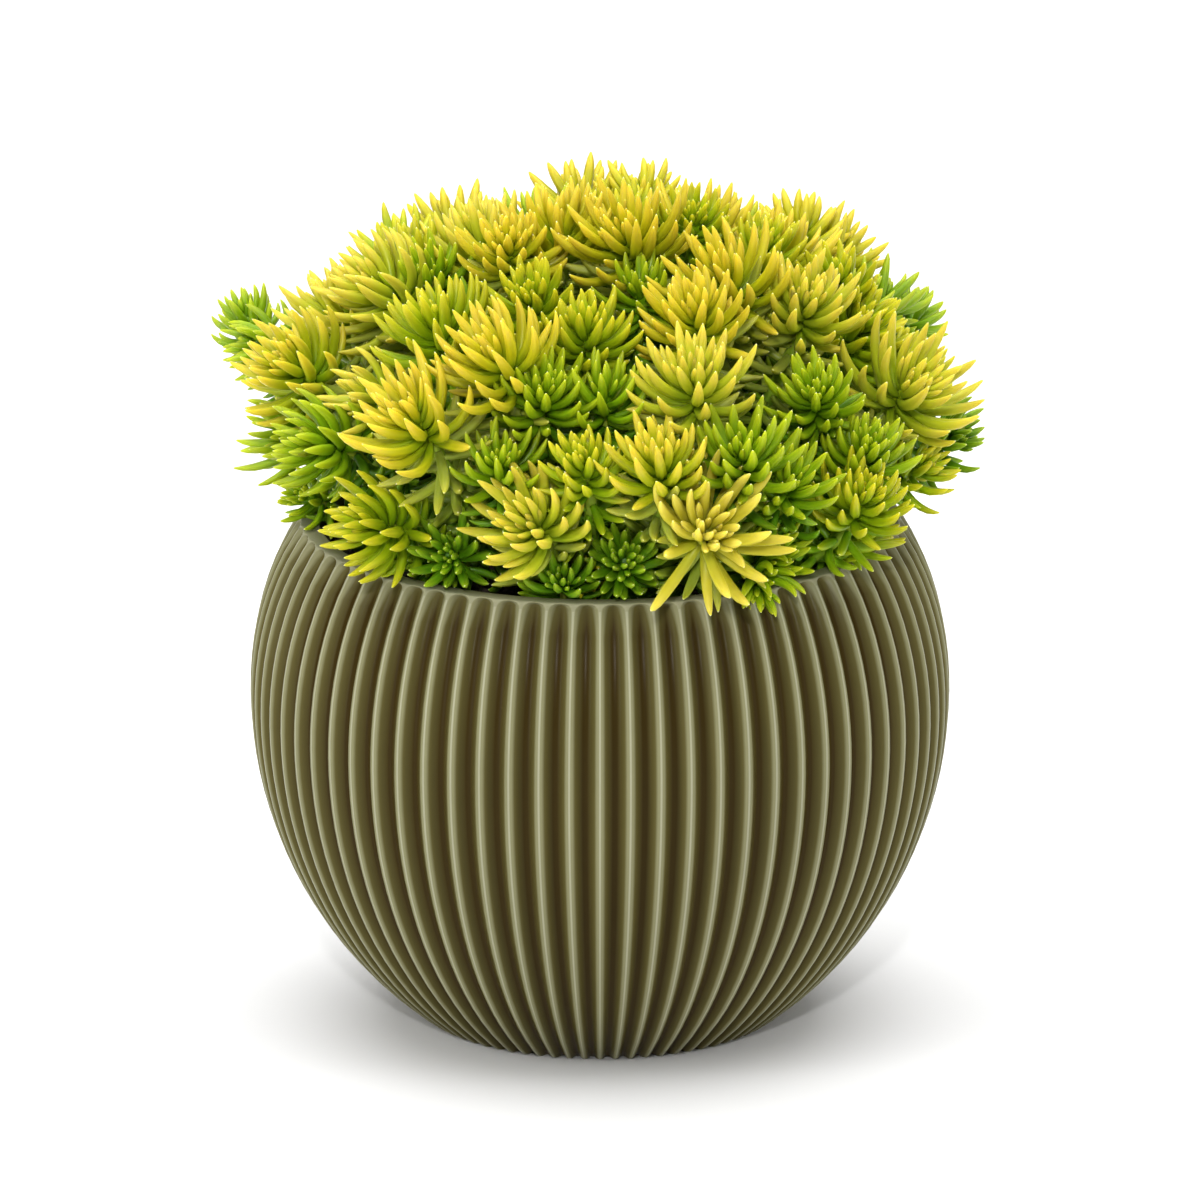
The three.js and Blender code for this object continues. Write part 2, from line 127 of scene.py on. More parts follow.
# Rows of points: radii under the foot, heights over it and inside the pot, how many rows the wall, the zone
# of the arches and each rounding of the rim have, and how high that zone is
UNDERSIDE_RADII = (0, 18, 34)
FOOT_HEIGHTS = (0.25, 0.8, 2)
INNER_HEIGHTS = (92, 72, 48, 24)
WALL_ROWS = 26
ARCH_ROWS = 13
ROUNDING_ROWS = 3
ARCH_ZONE = 2

# Soil: its top and bottom, its gap to the pot, how deep its edge and the roots reach, and its top's grid
SOIL_TOP = 104
SOIL_BOTTOM = 6.5
SOIL_GAP = 0.4
SOIL_EDGE = 4
ROOT_DEPTH = 8
SOIL_RINGS = 26
SOIL_SEGMENTS = 84

# Mounds on the soil: their height, scale, roughness and drop
MOUND_HEIGHT = 0.9
MOUND_SCALE = 0.11
MOUND_ROUGHNESS = (0.8, 2.0, 4)
MOUND_DROP = 0.5

# Crumbs: how level the soil is where they lie, their least and greatest scale, and the most they turn
CRUMB_LEVEL = 0.5
CRUMB_SCALES = ((0.4, 0.4, 0.35), (1.7, 1.3, 1.0))
CRUMB_TURN = (6.0, 6.0, 6.0)

# Rosettes, as in the solid model, where they fan out from a point in the pot: the length of the neck, and how
# far above the foot, in leaf lengths, the point lies that a rosette's wedge of space is built round
FAN_CENTRE = Vector((0, 0, 60))
NECK_LENGTH = 5
SEED_SHARE = 0.35

# Leans from a rosette's own axis (1) to a straight ray (0). The solid model has a corner at the right heart.
LEANS = (1, 0.8, 0.6, 0.4, 0.2, 0)
SEAT_TOLERANCE = 0.05

# Kinds: the heart's height over the foot, the stem's radius, the share of room and how slender the leaves are
KINDS = {
    "large": {"heart": 6.6, "stem": 1.5, "room": 1.0, "slender": 1.0},
    "small": {"heart": 5.4, "stem": 1.3, "room": 0.7, "slender": 1.18},
}

# A crown's distance from its foot: a base, and a share of the leaf length
CROWN_BASE = 2
CROWN_RISE = 0.9

# Side shoots fork off this share of the way to the neck, from a point this far over the soil. Their radius.
FORK_SHARE = 0.3
FORK_CLEARANCE = 3
FORK_RADIUS = 0.9

# The photograph's view. Heads below the crown line that face it, but not face-on, lean further away.
VIEW_ELEVATION = math.radians(17)
VIEWER = Vector((0, -math.cos(VIEW_ELEVATION), math.sin(VIEW_ELEVATION)))
TURNED_AWAY = 0.22
FACE_ON = 0.9
CROWN_LINE = 103

# Rosettes that show from the front: foot and crown as (right of, above) the fan centre, the foot's distance
# from it (negative behind the crest of the dome), leaf length, tone and kind
SEEN_ROSETTES = [
    ((-31, 106), (-33, 115), -113, 13, "gold", "large"),
    ((-19, 101), (-20, 111), 108, 12, "gold", "large"),
    ((-4, 112), (-7, 122), -114, 13, "gold", "large"),
    ((7, 103), (3, 116), 108, 17, "gold", "large"),
    ((9, 115), (9, 122), -116, 12, "gold", "small"),
    ((14, 110), (14, 115), -114, 10, "lime", "small"),
    ((20, 108), (20, 115), 111, 10, "lime", "small"),
    ((29, 107), (29, 114), -113, 11, "lime", "small"),
    ((43, 106), (43, 114), -115, 13, "gold", "large"),
    ((50, 102), (54, 107), -115, 12, "gold", "small"),
    ((34, 101), (35, 107), 108, 11, "lime", "large"),
    ((50, 94), (50, 102), 108, 11, "lime", "large"),
    ((60, 92), (61, 98), -111, 10, "green", "small"),
    ((67, 90), (69, 95), -116, 8, "green", "small"),
    ((-42, 102), (-43, 109), -111, 10, "lime", "small"),
    ((-36, 96), (-37, 103), 105, 11, "green", "small"),
    ((-43, 94), (-56, 101), 106, 16, "pale", "large"),
    ((-14, 90), (-16, 98), 105, 12, "lime", "large"),
    ((-3, 83), (-3, 93), 104, 12, "lime", "large"),
    ((28, 94), (24, 105), 107, 16, "gold", "large"),
    ((21, 86), (19, 96), 106, 14, "gold", "large"),
    ((43, 89), (45, 99), 107, 14, "pale", "large"),
    ((20, 72), (19, 83), 106, 15, "pale", "large"),
    ((53, 85), (60, 92), 102, 13, "lime", "large"),
    ((63, 72), (71, 81), 103, 18, "gold", "large"),
    ((-19, 77), (-28, 88), 108, 17, "gold", "large"),
    ((-62, 77), (-72, 84), 104, 15, "gold", "large"),
    ((-37, 65), (-45, 75), 106, 16, "gold", "large"),
    ((-12, 70), (-12, 78), 101, 12, "green", "large"),
    ((1, 70), (1, 79), 100, 10, "green", "small"),
    ((10, 93), (7, 97), 101, 10, "green", "small"),
    ((46, 70), (45, 77), 101, 11, "green", "large"),
    ((30, 57), (30, 66), 102, 14, "green", "large"),
    ((13, 55), (11, 66), 104, 14, "gold", "large"),
    ((-21, 56), (-21, 63), 97, 10, "green", "small"),
    ((-3, 55), (-5, 63), 100, 10, "lime", "large"),
    ((56, 58), (57, 66), 98, 11, "green", "large"),
    ((54, 48), (57, 56), 95, 12, "lime", "large"),
    ((39, 52), (42, 58), 97, 11, "green", "small"),
    ((-56, 62), (-67, 64), 96, 13, "lime", "large"),
    ((-62, 66), (-74, 66), 91, 13, "green", "small"),
    ((-44, 45), (-55, 46), 88, 13, "lime", "large"),
    ((-12, 44), (-18, 49), 90, 15, "gold", "large"),
    ((25, 47), (24, 44), 90, 14, "pale", "large"),
    ((5, 38), (5, 36), 80, 9, "deep", "large"),
    ((-9, 34), (-5, 30), 76, 9, "deep", "small"),
    ((-31, 40), (-32, 36), 80, 9, "deep", "small"),
    ((34, 40), (37, 34), 80, 9, "green", "small"),
    ((50, 44), (57, 44), 80, 9, "green", "small"),
    ((-75, 88), (-79, 97), -117, 9, "green", "small"),
    ((-70, 85), (-80, 83), -110.3, 9, "green", "small"),
    ((72, 63), (80, 67), 98, 10, "deep", "small"),
    ((65, 58), (70, 54), 94, 8, "lime", "small"),
    ((-60, 52), (-65, 51), 82, 8, "green", "small"),
    ((-28, 88), (-31, 93), 98, 9, "deep", "small"),
    ((-46, 72), (-55, 73), 98, 10, "pale", "small"),
]

# Small sprigs that lie on the front rim or hang over it, which only this scene has: foot and crown as
# above, the distance of each from the fan centre, leaf length and tone
RIM_SPRIGS = [
    ((33, 34.5), (34.5, 21), 80.3, 85, 9.5, "green"),
    ((-3, 36), (-1, 30), 70, 81.4, 8, "lime"),
    ((-33, 38), (-37, 32), 73.8, 82.7, 8, "deep"),
    ((53, 42), (61, 46), 78.6, 81.2, 9, "lime"),
]

# Rosettes with longer, shorter or otherwise coloured leaves than in the solid model, by the foot's place in
# the list: leaf length and tone
RESIZED = {
    # This head's cream tone is partly its own lighter colour and partly painted light against the shade it
    # sits in.
    (25, 47): (18.5, "cream"),
    (-12, 44): (15.5, "pale"),
    (63, 72): (18, "pale"),
    (13, 55): (13.5, "lemon"),
    (-44, 45): (13.5, "lime"),
    (-56, 62): (13, "green"),
    (-62, 77): (15, "lemon"),
    (9, 115): (8.5, "gold"),
    (14, 110): (8.5, "lime"),
    (20, 108): (9, "lime"),
    (29, 107): (8.5, "lime"),
    (43, 106): (11.5, "gold"),
    (50, 102): (10, "gold"),
    (67, 90): (7, "green"),
    (-75, 88): (7.5, "green"),
    (-60, 52): (6.5, "green"),
}

# How far a rosette's foot stands from its place in the solid model, to the right, back and up
MOVED = {(25, 47): Vector((-2.5, -6.5, -0.8))}

# Rim sprigs: how far the neck lies behind the foot, and where the stem leaves its parent's on the way up
SPRIG_NECK = 4
SPRIG_START = 0.45

# Rosettes on the sides and back, wherever a spiral over the dome meets a bare spot: how far out the dome
# lies, how it drops towards its edge, how much the heads turn up, and their tones and leaf lengths
SPIRAL_STEPS = 1500
SPIRAL_EDGE = math.radians(47)
BARE_ANGLE = math.radians(9)
DOME_REACH = 106
EDGE_DROP = 20
EDGE_POWER = 6
LIFT = 0.3
BACK_TONES = ("gold", "lime", "pale", "green", "gold", "lime")
BACK_LEAF = {"gold": 16, "lime": 14, "pale": 15, "green": 12}

# Leaves of a head, from its heart outwards: the first and last value, how soon the last is reached, and the
# power of the change. Lengths and widths are shares of the rosette's own. A tilt is the angle to its axis,
# where the leaf starts and where it ends.
HEAD_LENGTH = (0.54, 1.16, 1.6, 0.8)
HEAD_WIDTH = (0.72, 1, 2.2, 1)
HEAD_START_TILT = (0.22, 1.8, 1, 0.75)
HEAD_END_TILT = (0.03, 0.45, 1, 1.3)

# How much each leaf of a head bends at least, and how unripe the outmost ones are
LEAST_BEND = 0.08
HEAD_UNRIPE = 0.45

# Where they grow: from this far below the heart to this far below the foot, by which power, and how far out
BELOW_HEART = 0.6
BELOW_FOOT = 1.8
ROOT_POWER = 0.8
ROOT_OUT = 0.6

# Young leaves close together on each heart: how many, how far below its top and how far out they start, and
# their lengths and tilts from the inmost to the outmost
HEART_LEAVES = 14
HEART_DEPTH = 1.2
HEART_MIDDLE = 0.3
HEART_SPREAD = 1.5
HEART_LENGTHS = (0.3, 0.5)
HEART_START_TILTS = (0.15, 0.95)
HEART_END_TILTS = (0.02, 0.4)
HEART_WIDTH = 0.66

# Leaves down a stem, from the head down: tilt, lengths, widths, steps in mm, ripeness, the share of the stem
# that has any, the most on a stem, and the leaf length that they have at least
STEM_TILT = (1.85, 0.9)
STEM_LEAF_LENGTHS = (0.95, 0.7)
STEM_LEAF_WIDTHS = (0.95, 0.8)
STEM_LEAF_STEPS = (0.7, 1.5)
STEM_LEAF_RIPENESS = (0.8, 0.1)
STEM_LEAF_SHARE = 0.86
STEM_LEAVES = 60
LEAST_LEAF = 11

# The first of them have the head's tone. Further down they turn deep green, this fast, after this delay,
# partly as older leaves and partly with painted shade deep inside the plant.
HEAD_TONED = 3
SHADE_DEEPENING = 1.6
SHADE_DEEPENING_DELAY = 0.4

# How much single leaves vary in a head, down a stem and, in length only, on a heart
HEAD_VARIETY = {
    "turn": (-0.28, 0.28),
    "length": (0.86, 1.12),
    "start": (-0.2, 0.2),
    "end": (-0.12, 0.12),
    "sway": (-0.12, 0.12),
}
STEM_VARIETY = {
    "turn": (-0.25, 0.25),
    "length": (0.85, 1.1),
    "start": (-0.35, 0.2),
    "end": (-0.3, 0.3),
    "sway": (-0.2, 0.2),
}
HEART_VARIETY = (0.9, 1.1)

# How wide a leaf is along its length. Short leaves are slimmer: by a base, and their length over a divisor.
LEAF_PROFILE = ((0, 0.66), (0.2, 0.9), (0.44, 1), (0.7, 0.87), (0.89, 0.53), (1, 0))
BASE_WIDTH = 0.45
WIDTH_DIVISOR = 26

# Leaves look for room: tries at drawing in or out and at turning aside, and the places tested along a leaf
PULLS = (1, 0.9, 1.1, 0.8, 0.7, 1.2, 0.6, 0.5, 0.4)
NUDGES = (0, 0.2, -0.2)
TEST_STEPS = (0.3, 0.47, 0.64, 0.81, 0.97)

# A leaf's least radius there, the length that one keeps when it is drawn in, the steepest tilt, and the grid
LEAST_RADIUS = 0.25
DRAWN_IN_LENGTH = 0.8
STEEPEST_TILT = 2.4
CROWD_CELL = 3

# What a try costs, when it is free enough to be taken at once, and when it is still too crowded. An overlap
# is how far a leaf reaches into its neighbours' wedges of space, in mm.
PULL_COST = 1.2
OVERLAP_COST = 0.3
FREE_ENOUGH = 0.15
TOO_CROWDED = 2.2
OVERLAP = 4
DEEPEST_OVERLAP = 8

# Margins to the solid model's box and to the pot
LEAF_MARGIN = 0.7
POT_GAP = 0.3

# Stems: points up to the neck, the first of which take no room, points on to the foot, and the taper
STEM_STEPS = 10
ROOT_STEPS = 3
NECK_STEPS = 4
STEM_TAPER = 0.92

# A head's core, which leaves hide: shares of the way from the foot to the heart, and of the stem's radius
CORE = ((0.25, 1.1), (0.5, 1.0), (0.75, 0.75), (0.95, 0.35))

# Colours at a leaf's base, along its body and at its tip
LEAF_PARTS = ("base", "body", "tip")
TONES = {
    "gold": ("#8ea60e", "#c2ba16", "#e9ca3c"),
    "pale": ("#94ac1a", "#c0c428", "#e6cc4c"),
    "lemon": ("#80a00c", "#b2b614", "#e2c63a"),
    "lime": ("#7a9c0a", "#9db00c", "#ccc020"),
    "green": ("#6a9608", "#88a80c", "#b2bc1a"),
    "deep": ("#4a7a08", "#61900e", "#8ea81c"),
    # Cream is partly a lighter leaf colour and partly painted light for a head that sits in shade.
    "cream": ("#b6b830", "#d8cc3e", "#efda60"),
    "old": ("#98a63c", "#a6b040", "#b8b440"),
}

# The tone of the leaves down a stem, by its head's tone. Under the heads not named here it is the old one.
OLD_LEAF_TONES = {"lime": "green", "green": "deep", "deep": "deep"}

# How light leaves are, how much that varies, and how much of their colours unripe bodies and tips have
LEAF_LIGHT = 0.84
LIGHT_SPREAD = 0.08
UNRIPE_BODY = 0.35
UNRIPE_TIP = 0.3

# The pot's colours from the middle of a crest (0) to the middle of a flute (1): a painted highlight line,
# a paler crest with painted sheen, the flank in the plastic's own olive, and painted shade deep in the
# flute. The shade lies between the flank's colour and the flute's.
CREST_BANDS = (
    (0.03, "line"),
    (0.09, "crest"),
    (0.2, "crest"),
    (0.36, "flank"),
    (0.66, "shade"),
    (0.86, "flute"),
)
SHADE_SHARE = 0.6

# Where along a leaf its body's colour, its tip's colour and its pale point set in and are complete
BODY_BAND = (0.12, 0.55)
TIP_BAND = (0.5, 0.97)
POINT_BAND = (0.975, 1.0)

# The studio, in metres and watts. Softboxes: name, place, target, size and power.
SOFTBOXES = (
    ("left_softbox", (-1.05, -0.75, 0.5), (0, 0, 0.1), (0.3, 1.4), 10),
    ("right_softbox", (1.1, -0.6, 0.5), (0, 0, 0.1), (0.3, 1.4), 5),
    ("overhead_softbox", (0, 0.25, 2.2), (0, 0.25, 0), (3, 3), 92),
)
FILL_PLACE = (-0.1, -2.2, 1.3)
FILL_TARGET = (0, 0, 0.15)
FILL_POWER = 420
FILL_CONE = math.radians(5.5)
FILL_SOFTNESS = 0.16
AIR_LIGHT = 0.3
FLOOR_RADIUS = 6

# The camera, in metres, its lens and sensor in millimetres
CAMERA_TARGET = Vector((0, 0, 0.0913))
CAMERA_DISTANCE = 5
CAMERA_REACH = 30
CAMERA_LENS = 700
CAMERA_SENSOR = 36


def lerp(start, end, share):
    return start + (end - start) * share


def eased(share, first, last, speed, power):
    """A value on its way from its first to its last."""
    return lerp(first, last, min(1, share * speed) ** power)


def linear(code):
    """The linear colour of an sRGB hex code."""
    values = [int(code[i : i + 2], 16) / 255 for i in (1, 3, 5)]
    return Vector([v / 12.92 if v <= 0.04045 else ((v + 0.055) / 1.055) ** 2.4 for v in values])


def pot_radius(z):
    """Radius over the flute crests at a height."""
    bow, end, reach = (LOWER_BOW, FOOT_RADIUS, WIDEST_HEIGHT)
    if z > WIDEST_HEIGHT:
        bow, end, reach = (UPPER_BOW, RIM_RADIUS, POT_HEIGHT - WIDEST_HEIGHT)
    share = (z - WIDEST_HEIGHT) / reach
    return POT_RADIUS * (1 - (1 - (end / POT_RADIUS) ** bow) * share * share) ** (1 / bow)


class NodeTree:
    """A node tree, with short ways to add nodes, sockets and links to it."""

    def __init__(self, tree):
        self.tree = tree
        self.entry = None

    def socket(self, name, kind, default=None, output=False, low=None, high=None):
        way = "OUTPUT" if output else "INPUT"
        item = self.tree.interface.new_socket(name=name, in_out=way, socket_type=kind)
        if default is not None:
            item.default_value = default
        if low is not None:
            item.min_value, item.max_value = low, high
        return item

    def add(self, kind, inputs=None, **settings):
        """Adds a node. An input takes a value, or a socket to link from."""
        node = self.tree.nodes.new(kind)
        for name, value in settings.items():
            setattr(node, name, value)
        self.feed_all(node, inputs or {})
        return node

    def feed_all(self, node, inputs):
        for key, value in inputs.items():
            self.feed(node.inputs[key], value)

    def feed(self, socket, value):
        if isinstance(value, bpy.types.NodeSocket):
            self.tree.links.new(value, socket)
        else:
            socket.default_value = value

    def given(self, name):
        """A socket of the group's input node."""
        if self.entry is None:
            self.entry = self.tree.nodes.new("NodeGroupInput")
        return self.entry.outputs[name]

    def math(self, operation, *values):
        return self.add("ShaderNodeMath", dict(enumerate(values)), operation=operation).outputs[0]

    def vector(self, operation, *values):
        node = self.add("ShaderNodeVectorMath", dict(enumerate(values)), operation=operation)
        return node.outputs["Vector"]

    def scaled(self, vector, factor):
        node = self.add("ShaderNodeVectorMath", {"Vector": vector, "Scale": factor}, operation="SCALE")
        return node.outputs["Vector"]

    def parts(self, vector):
        return self.add("ShaderNodeSeparateXYZ", {0: vector}).outputs

    def joined(self, x, y, z):
        return self.add("ShaderNodeCombineXYZ", {0: x, 1: y, 2: z}).outputs[0]

    def read(self, name, kind="FLOAT"):
        """A named attribute of the geometry."""
        node = self.add("GeometryNodeInputNamedAttribute", {"Name": name}, data_type=kind)
        return node.outputs["Attribute"]

    def store(self, geometry, name, value, kind="FLOAT"):
        inputs = {"Geometry": geometry, "Name": name, "Value": value}
        node = self.add("GeometryNodeStoreNamedAttribute", inputs, data_type=kind, domain="POINT")
        return node.outputs["Geometry"]

    def mix(self, factor, start, end):
        """A mix of two colours."""
        return self.add("ShaderNodeMix", {0: factor, 6: start, 7: end}, data_type="RGBA").outputs[2]

    def ranged(self, value, low, high, to_low=0.0, to_high=1.0, smooth=False):
        inputs = {"Value": value, "From Min": low, "From Max": high, "To Min": to_low, "To Max": to_high}
        kind = "SMOOTHSTEP" if smooth else "LINEAR"
        return self.add("ShaderNodeMapRange", inputs, interpolation_type=kind).outputs["Result"]

    def join(self, *geometries):
        """One geometry of several."""
        node = self.add("GeometryNodeJoinGeometry")
        for geometry in geometries:
            self.feed(node.inputs[0], geometry)
        return node.outputs[0]

    def finish(self, geometry):
        """Ends a geometry tree: real geometry, shaded smooth, in the given material."""
        real = self.add("GeometryNodeRealizeInstances", {"Geometry": geometry}).outputs[0]
        smooth = self.add("GeometryNodeSetShadeSmooth", {"Geometry": real}).outputs[0]
        inputs = {"Geometry": smooth, "Material": self.given("Material")}
        painted = self.add("GeometryNodeSetMaterial", inputs).outputs[0]
        self.add("NodeGroupOutput", {0: painted})
        return self.tree


def geometry_tree(name):
    """A geometry tree that takes a geometry and a material."""
    tree = NodeTree(bpy.data.node_groups.new(name, "GeometryNodeTree"))
    tree.socket("Geometry", "NodeSocketGeometry")
    tree.socket("Geometry", "NodeSocketGeometry", output=True)
    tree.socket("Material", "NodeSocketMaterial")
    return tree


def grown(name, mesh, tree, values):
    """A plain mesh object made by a geometry tree on a mesh, with the tree's inputs set by name."""
    start = bpy.data.objects.new(f"{name}_start", mesh)
    bpy.context.scene.collection.objects.link(start)
    modifier = start.modifiers.new("Grow", "NODES")
    modifier.node_group = tree
    for item in tree.interface.items_tree:
        if item.item_type == "SOCKET" and item.in_out == "INPUT" and item.name in values:
            modifier[item.identifier] = values[item.name]
    graph = bpy.context.evaluated_depsgraph_get()
    made = bpy.data.meshes.new_from_object(start.evaluated_get(graph))
    made.name = name
    start.modifiers.clear()
    bpy.data.objects.remove(start)
    bpy.data.meshes.remove(mesh)
    piece = bpy.data.objects.new(name, made)
    bpy.context.scene.collection.objects.link(piece)
    return piece


def add_attribute(mesh, name, kind, values):
    field = "vector" if kind == "FLOAT_VECTOR" else "value"
    number = bool if kind == "BOOLEAN" else np.float32
    attribute = mesh.attributes.new(name, kind, "POINT")
    attribute.data.foreach_set(field, np.array(values, dtype=number).ravel())


def mesh_of(build, name):
    """The mesh of a finished build, which is freed."""
    mesh = bpy.data.meshes.new(name)
    build.to_mesh(mesh)
    build.free()
    return mesh


def drop_attributes(mesh, names):
    for name in names:
        found = mesh.attributes.get(name)
        if found is not None:
            mesh.attributes.remove(found)


# Materials


def mottle_group():
    """Soft uneven patches and fine grain over Object coordinates, as a mask and a height."""
    name = "Mottle"
    if name in bpy.data.node_groups:
        return bpy.data.node_groups[name]
    group = NodeTree(bpy.data.node_groups.new(name, "ShaderNodeTree"))
    group.socket("Patch Scale", "NodeSocketFloat", 40.0)
    group.socket("Grain Scale", "NodeSocketFloat", 900.0)
    group.socket("Patches", "NodeSocketFloat", output=True)
    group.socket("Grain", "NodeSocketFloat", output=True)
    place = group.add("ShaderNodeTexCoord").outputs["Object"]
    outputs = {}
    for output, scale, detail in (("Patches", "Patch Scale", 3.0), ("Grain", "Grain Scale", 2.0)):
        inputs = {"Vector": place, "Scale": group.given(scale), "Detail": detail}
        outputs[output] = group.add("ShaderNodeTexNoise", inputs).outputs[0]
    group.add("NodeGroupOutput", outputs)
    return group.tree


def new_material(name):
    material = bpy.data.materials.new(name)
    material.use_nodes = True
    tree = NodeTree(material.node_tree)
    shader = material.node_tree.nodes["Principled BSDF"]
    return material, tree, shader


def mottle(tree, patch_scale, grain_scale):
    inputs = {"Patch Scale": patch_scale, "Grain Scale": grain_scale}
    node = tree.add("ShaderNodeGroup", inputs, node_tree=mottle_group())
    return node.outputs["Patches"], node.outputs["Grain"]


def bumped(tree, height, strength, distance):
    inputs = {"Height": height, "Strength": strength, "Distance": distance}
    return tree.add("ShaderNodeBump", inputs).outputs["Normal"]


def pot_material(settings):
    """Satin moulded olive plastic: painted highlights along the crests, painted shade deep in the flutes."""
    material, tree, shader = new_material("satin_olive_plastic")
    patches, grain = mottle(tree, patch_scale=28.0, grain_scale=1500.0)
    share = tree.add("ShaderNodeAttribute", attribute_name="flute_share").outputs["Fac"]
    # The line and crest colours are painted highlight and sheen, the shade and flute colours painted shade,
    # and the flank colour is the plastic's own olive.
    colours = {
        "line": settings.highlight_line_colour,
        "crest": settings.crest_sheen_colour,
        "flank": settings.flank_colour,
        "shade": Vector(settings.flank_colour).lerp(Vector(settings.flute_shade_colour), SHADE_SHARE),
        "flute": settings.flute_shade_colour,
    }
    ramp = tree.add("ShaderNodeValToRGB", {"Fac": share})
    stops = ramp.color_ramp.elements
    while len(stops) < len(CREST_BANDS):
        stops.new(0.5)
    for stop, (place, band) in zip(stops, CREST_BANDS):
        stop.position = place
        stop.color = (*colours[band], 1)
    full = ramp.outputs["Color"]
    deep = tree.add("ShaderNodeHueSaturation", {"Value": 0.93, "Color": full}).outputs["Color"]
    tree.feed_all(shader, {
        "Base Color": tree.mix(tree.ranged(patches, 0.3, 0.7), deep, full),
        "Roughness": tree.ranged(patches, 0.2, 0.8, to_low=0.28, to_high=0.38),
        "Normal": bumped(tree, grain, strength=0.05, distance=0.0001),
    })
    # Specular is low, as the crests' highlights are painted into the colour.
    shader.inputs["Specular IOR Level"].default_value = 0.05
    return material


def soil_material():
    """Dark moist potting mix."""
    material, tree, shader = new_material("potting_mix")
    patches, grain = mottle(tree, patch_scale=160.0, grain_scale=1400.0)
    dark, brown = linear("#15110d"), linear("#3a2c1f")
    tree.feed_all(shader, {
        "Base Color": tree.mix(patches, (*dark, 1), (*brown, 1)),
        "Normal": bumped(tree, grain, strength=0.5, distance=0.0006),
    })
    shader.inputs["Roughness"].default_value = 0.9
    return material


def leaf_material():
    """Smooth fleshy leaf skin. Its colours run from a leaf's base to its tip, which ends in a pale point."""
    material, tree, shader = new_material("stonecrop_skin")
    patches, grain = mottle(tree, patch_scale=260.0, grain_scale=2600.0)
    along = tree.add("ShaderNodeAttribute", attribute_name="along").outputs["Fac"]
    nodes = [tree.add("ShaderNodeAttribute", attribute_name=f"leaf_{part}") for part in LEAF_PARTS]
    base, body, tip = (node.outputs["Color"] for node in nodes)
    lower = tree.mix(tree.ranged(along, *BODY_BAND, smooth=True), base, body)
    upper = tree.mix(tree.ranged(along, *TIP_BAND, smooth=True), lower, tip)
    varied = tree.mix(tree.ranged(patches, 0.35, 0.75, to_high=0.18), upper, base)
    pale = (*linear("#efe3c4"), 1)
    tree.feed_all(shader, {
        "Base Color": tree.mix(tree.ranged(along, *POINT_BAND, to_high=0.6), varied, pale),
        "Roughness": tree.ranged(patches, 0.3, 0.7, to_low=0.34, to_high=0.46),
        "Normal": bumped(tree, grain, strength=0.08, distance=0.0001),
    })
    shader.inputs["Subsurface Weight"].default_value = 0.75
    shader.inputs["Subsurface Radius"].default_value = (1.0, 1.0, 0.3)
    shader.inputs["Subsurface Scale"].default_value = 0.002
    shader.inputs["Specular IOR Level"].default_value = 0.25
    return material


# Pot


def flute_cut(share, z):
    """How much of the depth is cut away, from the middle of a crest (0) to the middle of a flute (1)."""
    share = min(1, max(0, share))
    up = max(0, (z - WIDEST_HEIGHT) / (POT_HEIGHT - WIDEST_HEIGHT))
    return 1 - (1 - share ** lerp(CREST_BREADTH, RIM_CREST_BREADTH, up)) ** FLUTE_FLATNESS


def wall_outline():
    """The pot's outline over the crests, from the middle of its underside, up outside and down inside.

    Each point is (radius, height, whether it is fluted)."""
    outline = [(radius, 0, False) for radius in UNDERSIDE_RADII] + [(FOOT_RADIUS - FOOT_ROUNDING, 0, True)]
    top = POT_HEIGHT - RIM_ROUNDING
    low, arch = FOOT_HEIGHTS[-1], top - ARCH_ZONE
    heights = [*FOOT_HEIGHTS] + [low + (arch - low) * k / WALL_ROWS for k in range(1, WALL_ROWS + 1)]
    heights += [lerp(arch, top, k / ARCH_ROWS) for k in range(1, ARCH_ROWS + 1)]
    for z in heights:
        share = 1 - min(z, FOOT_ROUNDING_HEIGHT) / FOOT_ROUNDING_HEIGHT
        edge = FOOT_ROUNDING * (1 - math.sqrt(1 - share * share))
        outline.append((pot_radius(z) - edge, z, True))
    turns = [math.pi / 2 * k / ROUNDING_ROWS for k in range(ROUNDING_ROWS + 1)]
    for turn in turns[1:]:
        radius = pot_radius(top) - RIM_ROUNDING * (1 - math.cos(turn))
        outline.append((radius, top + RIM_ROUNDING * math.sin(turn), True))
    for turn in turns:
        radius = MOUTH_RADIUS + LIP_ROUNDING * (1 - math.sin(turn))
        outline.append((radius, POT_HEIGHT - LIP_ROUNDING * (1 - math.cos(turn)), False))
    outline.append((MOUTH_RADIUS, SOIL_TOP, False))
    outline += [(pot_radius(z) - WALL_THICKNESS, z, False) for z in (*INNER_HEIGHTS, FLOOR_THICKNESS)]
    return outline + [(0, FLOOR_THICKNESS, False)]


def painted_share(share, fluted, end):
    """The share that a point's colour follows. Towards its arch, where end is 1, a flute turns paler as its
    painted shade fades, and round the arch the painted highlight line is fainter."""
    if not fluted:
        return PLAIN_SHARE
    shown = share if share > 0 else min(PLAIN_SHARE, -share)
    shown *= lerp(1, PALEST, min(1, max(0, end)))
    return max(ARCH_SHARE, shown) if end > 1 else shown


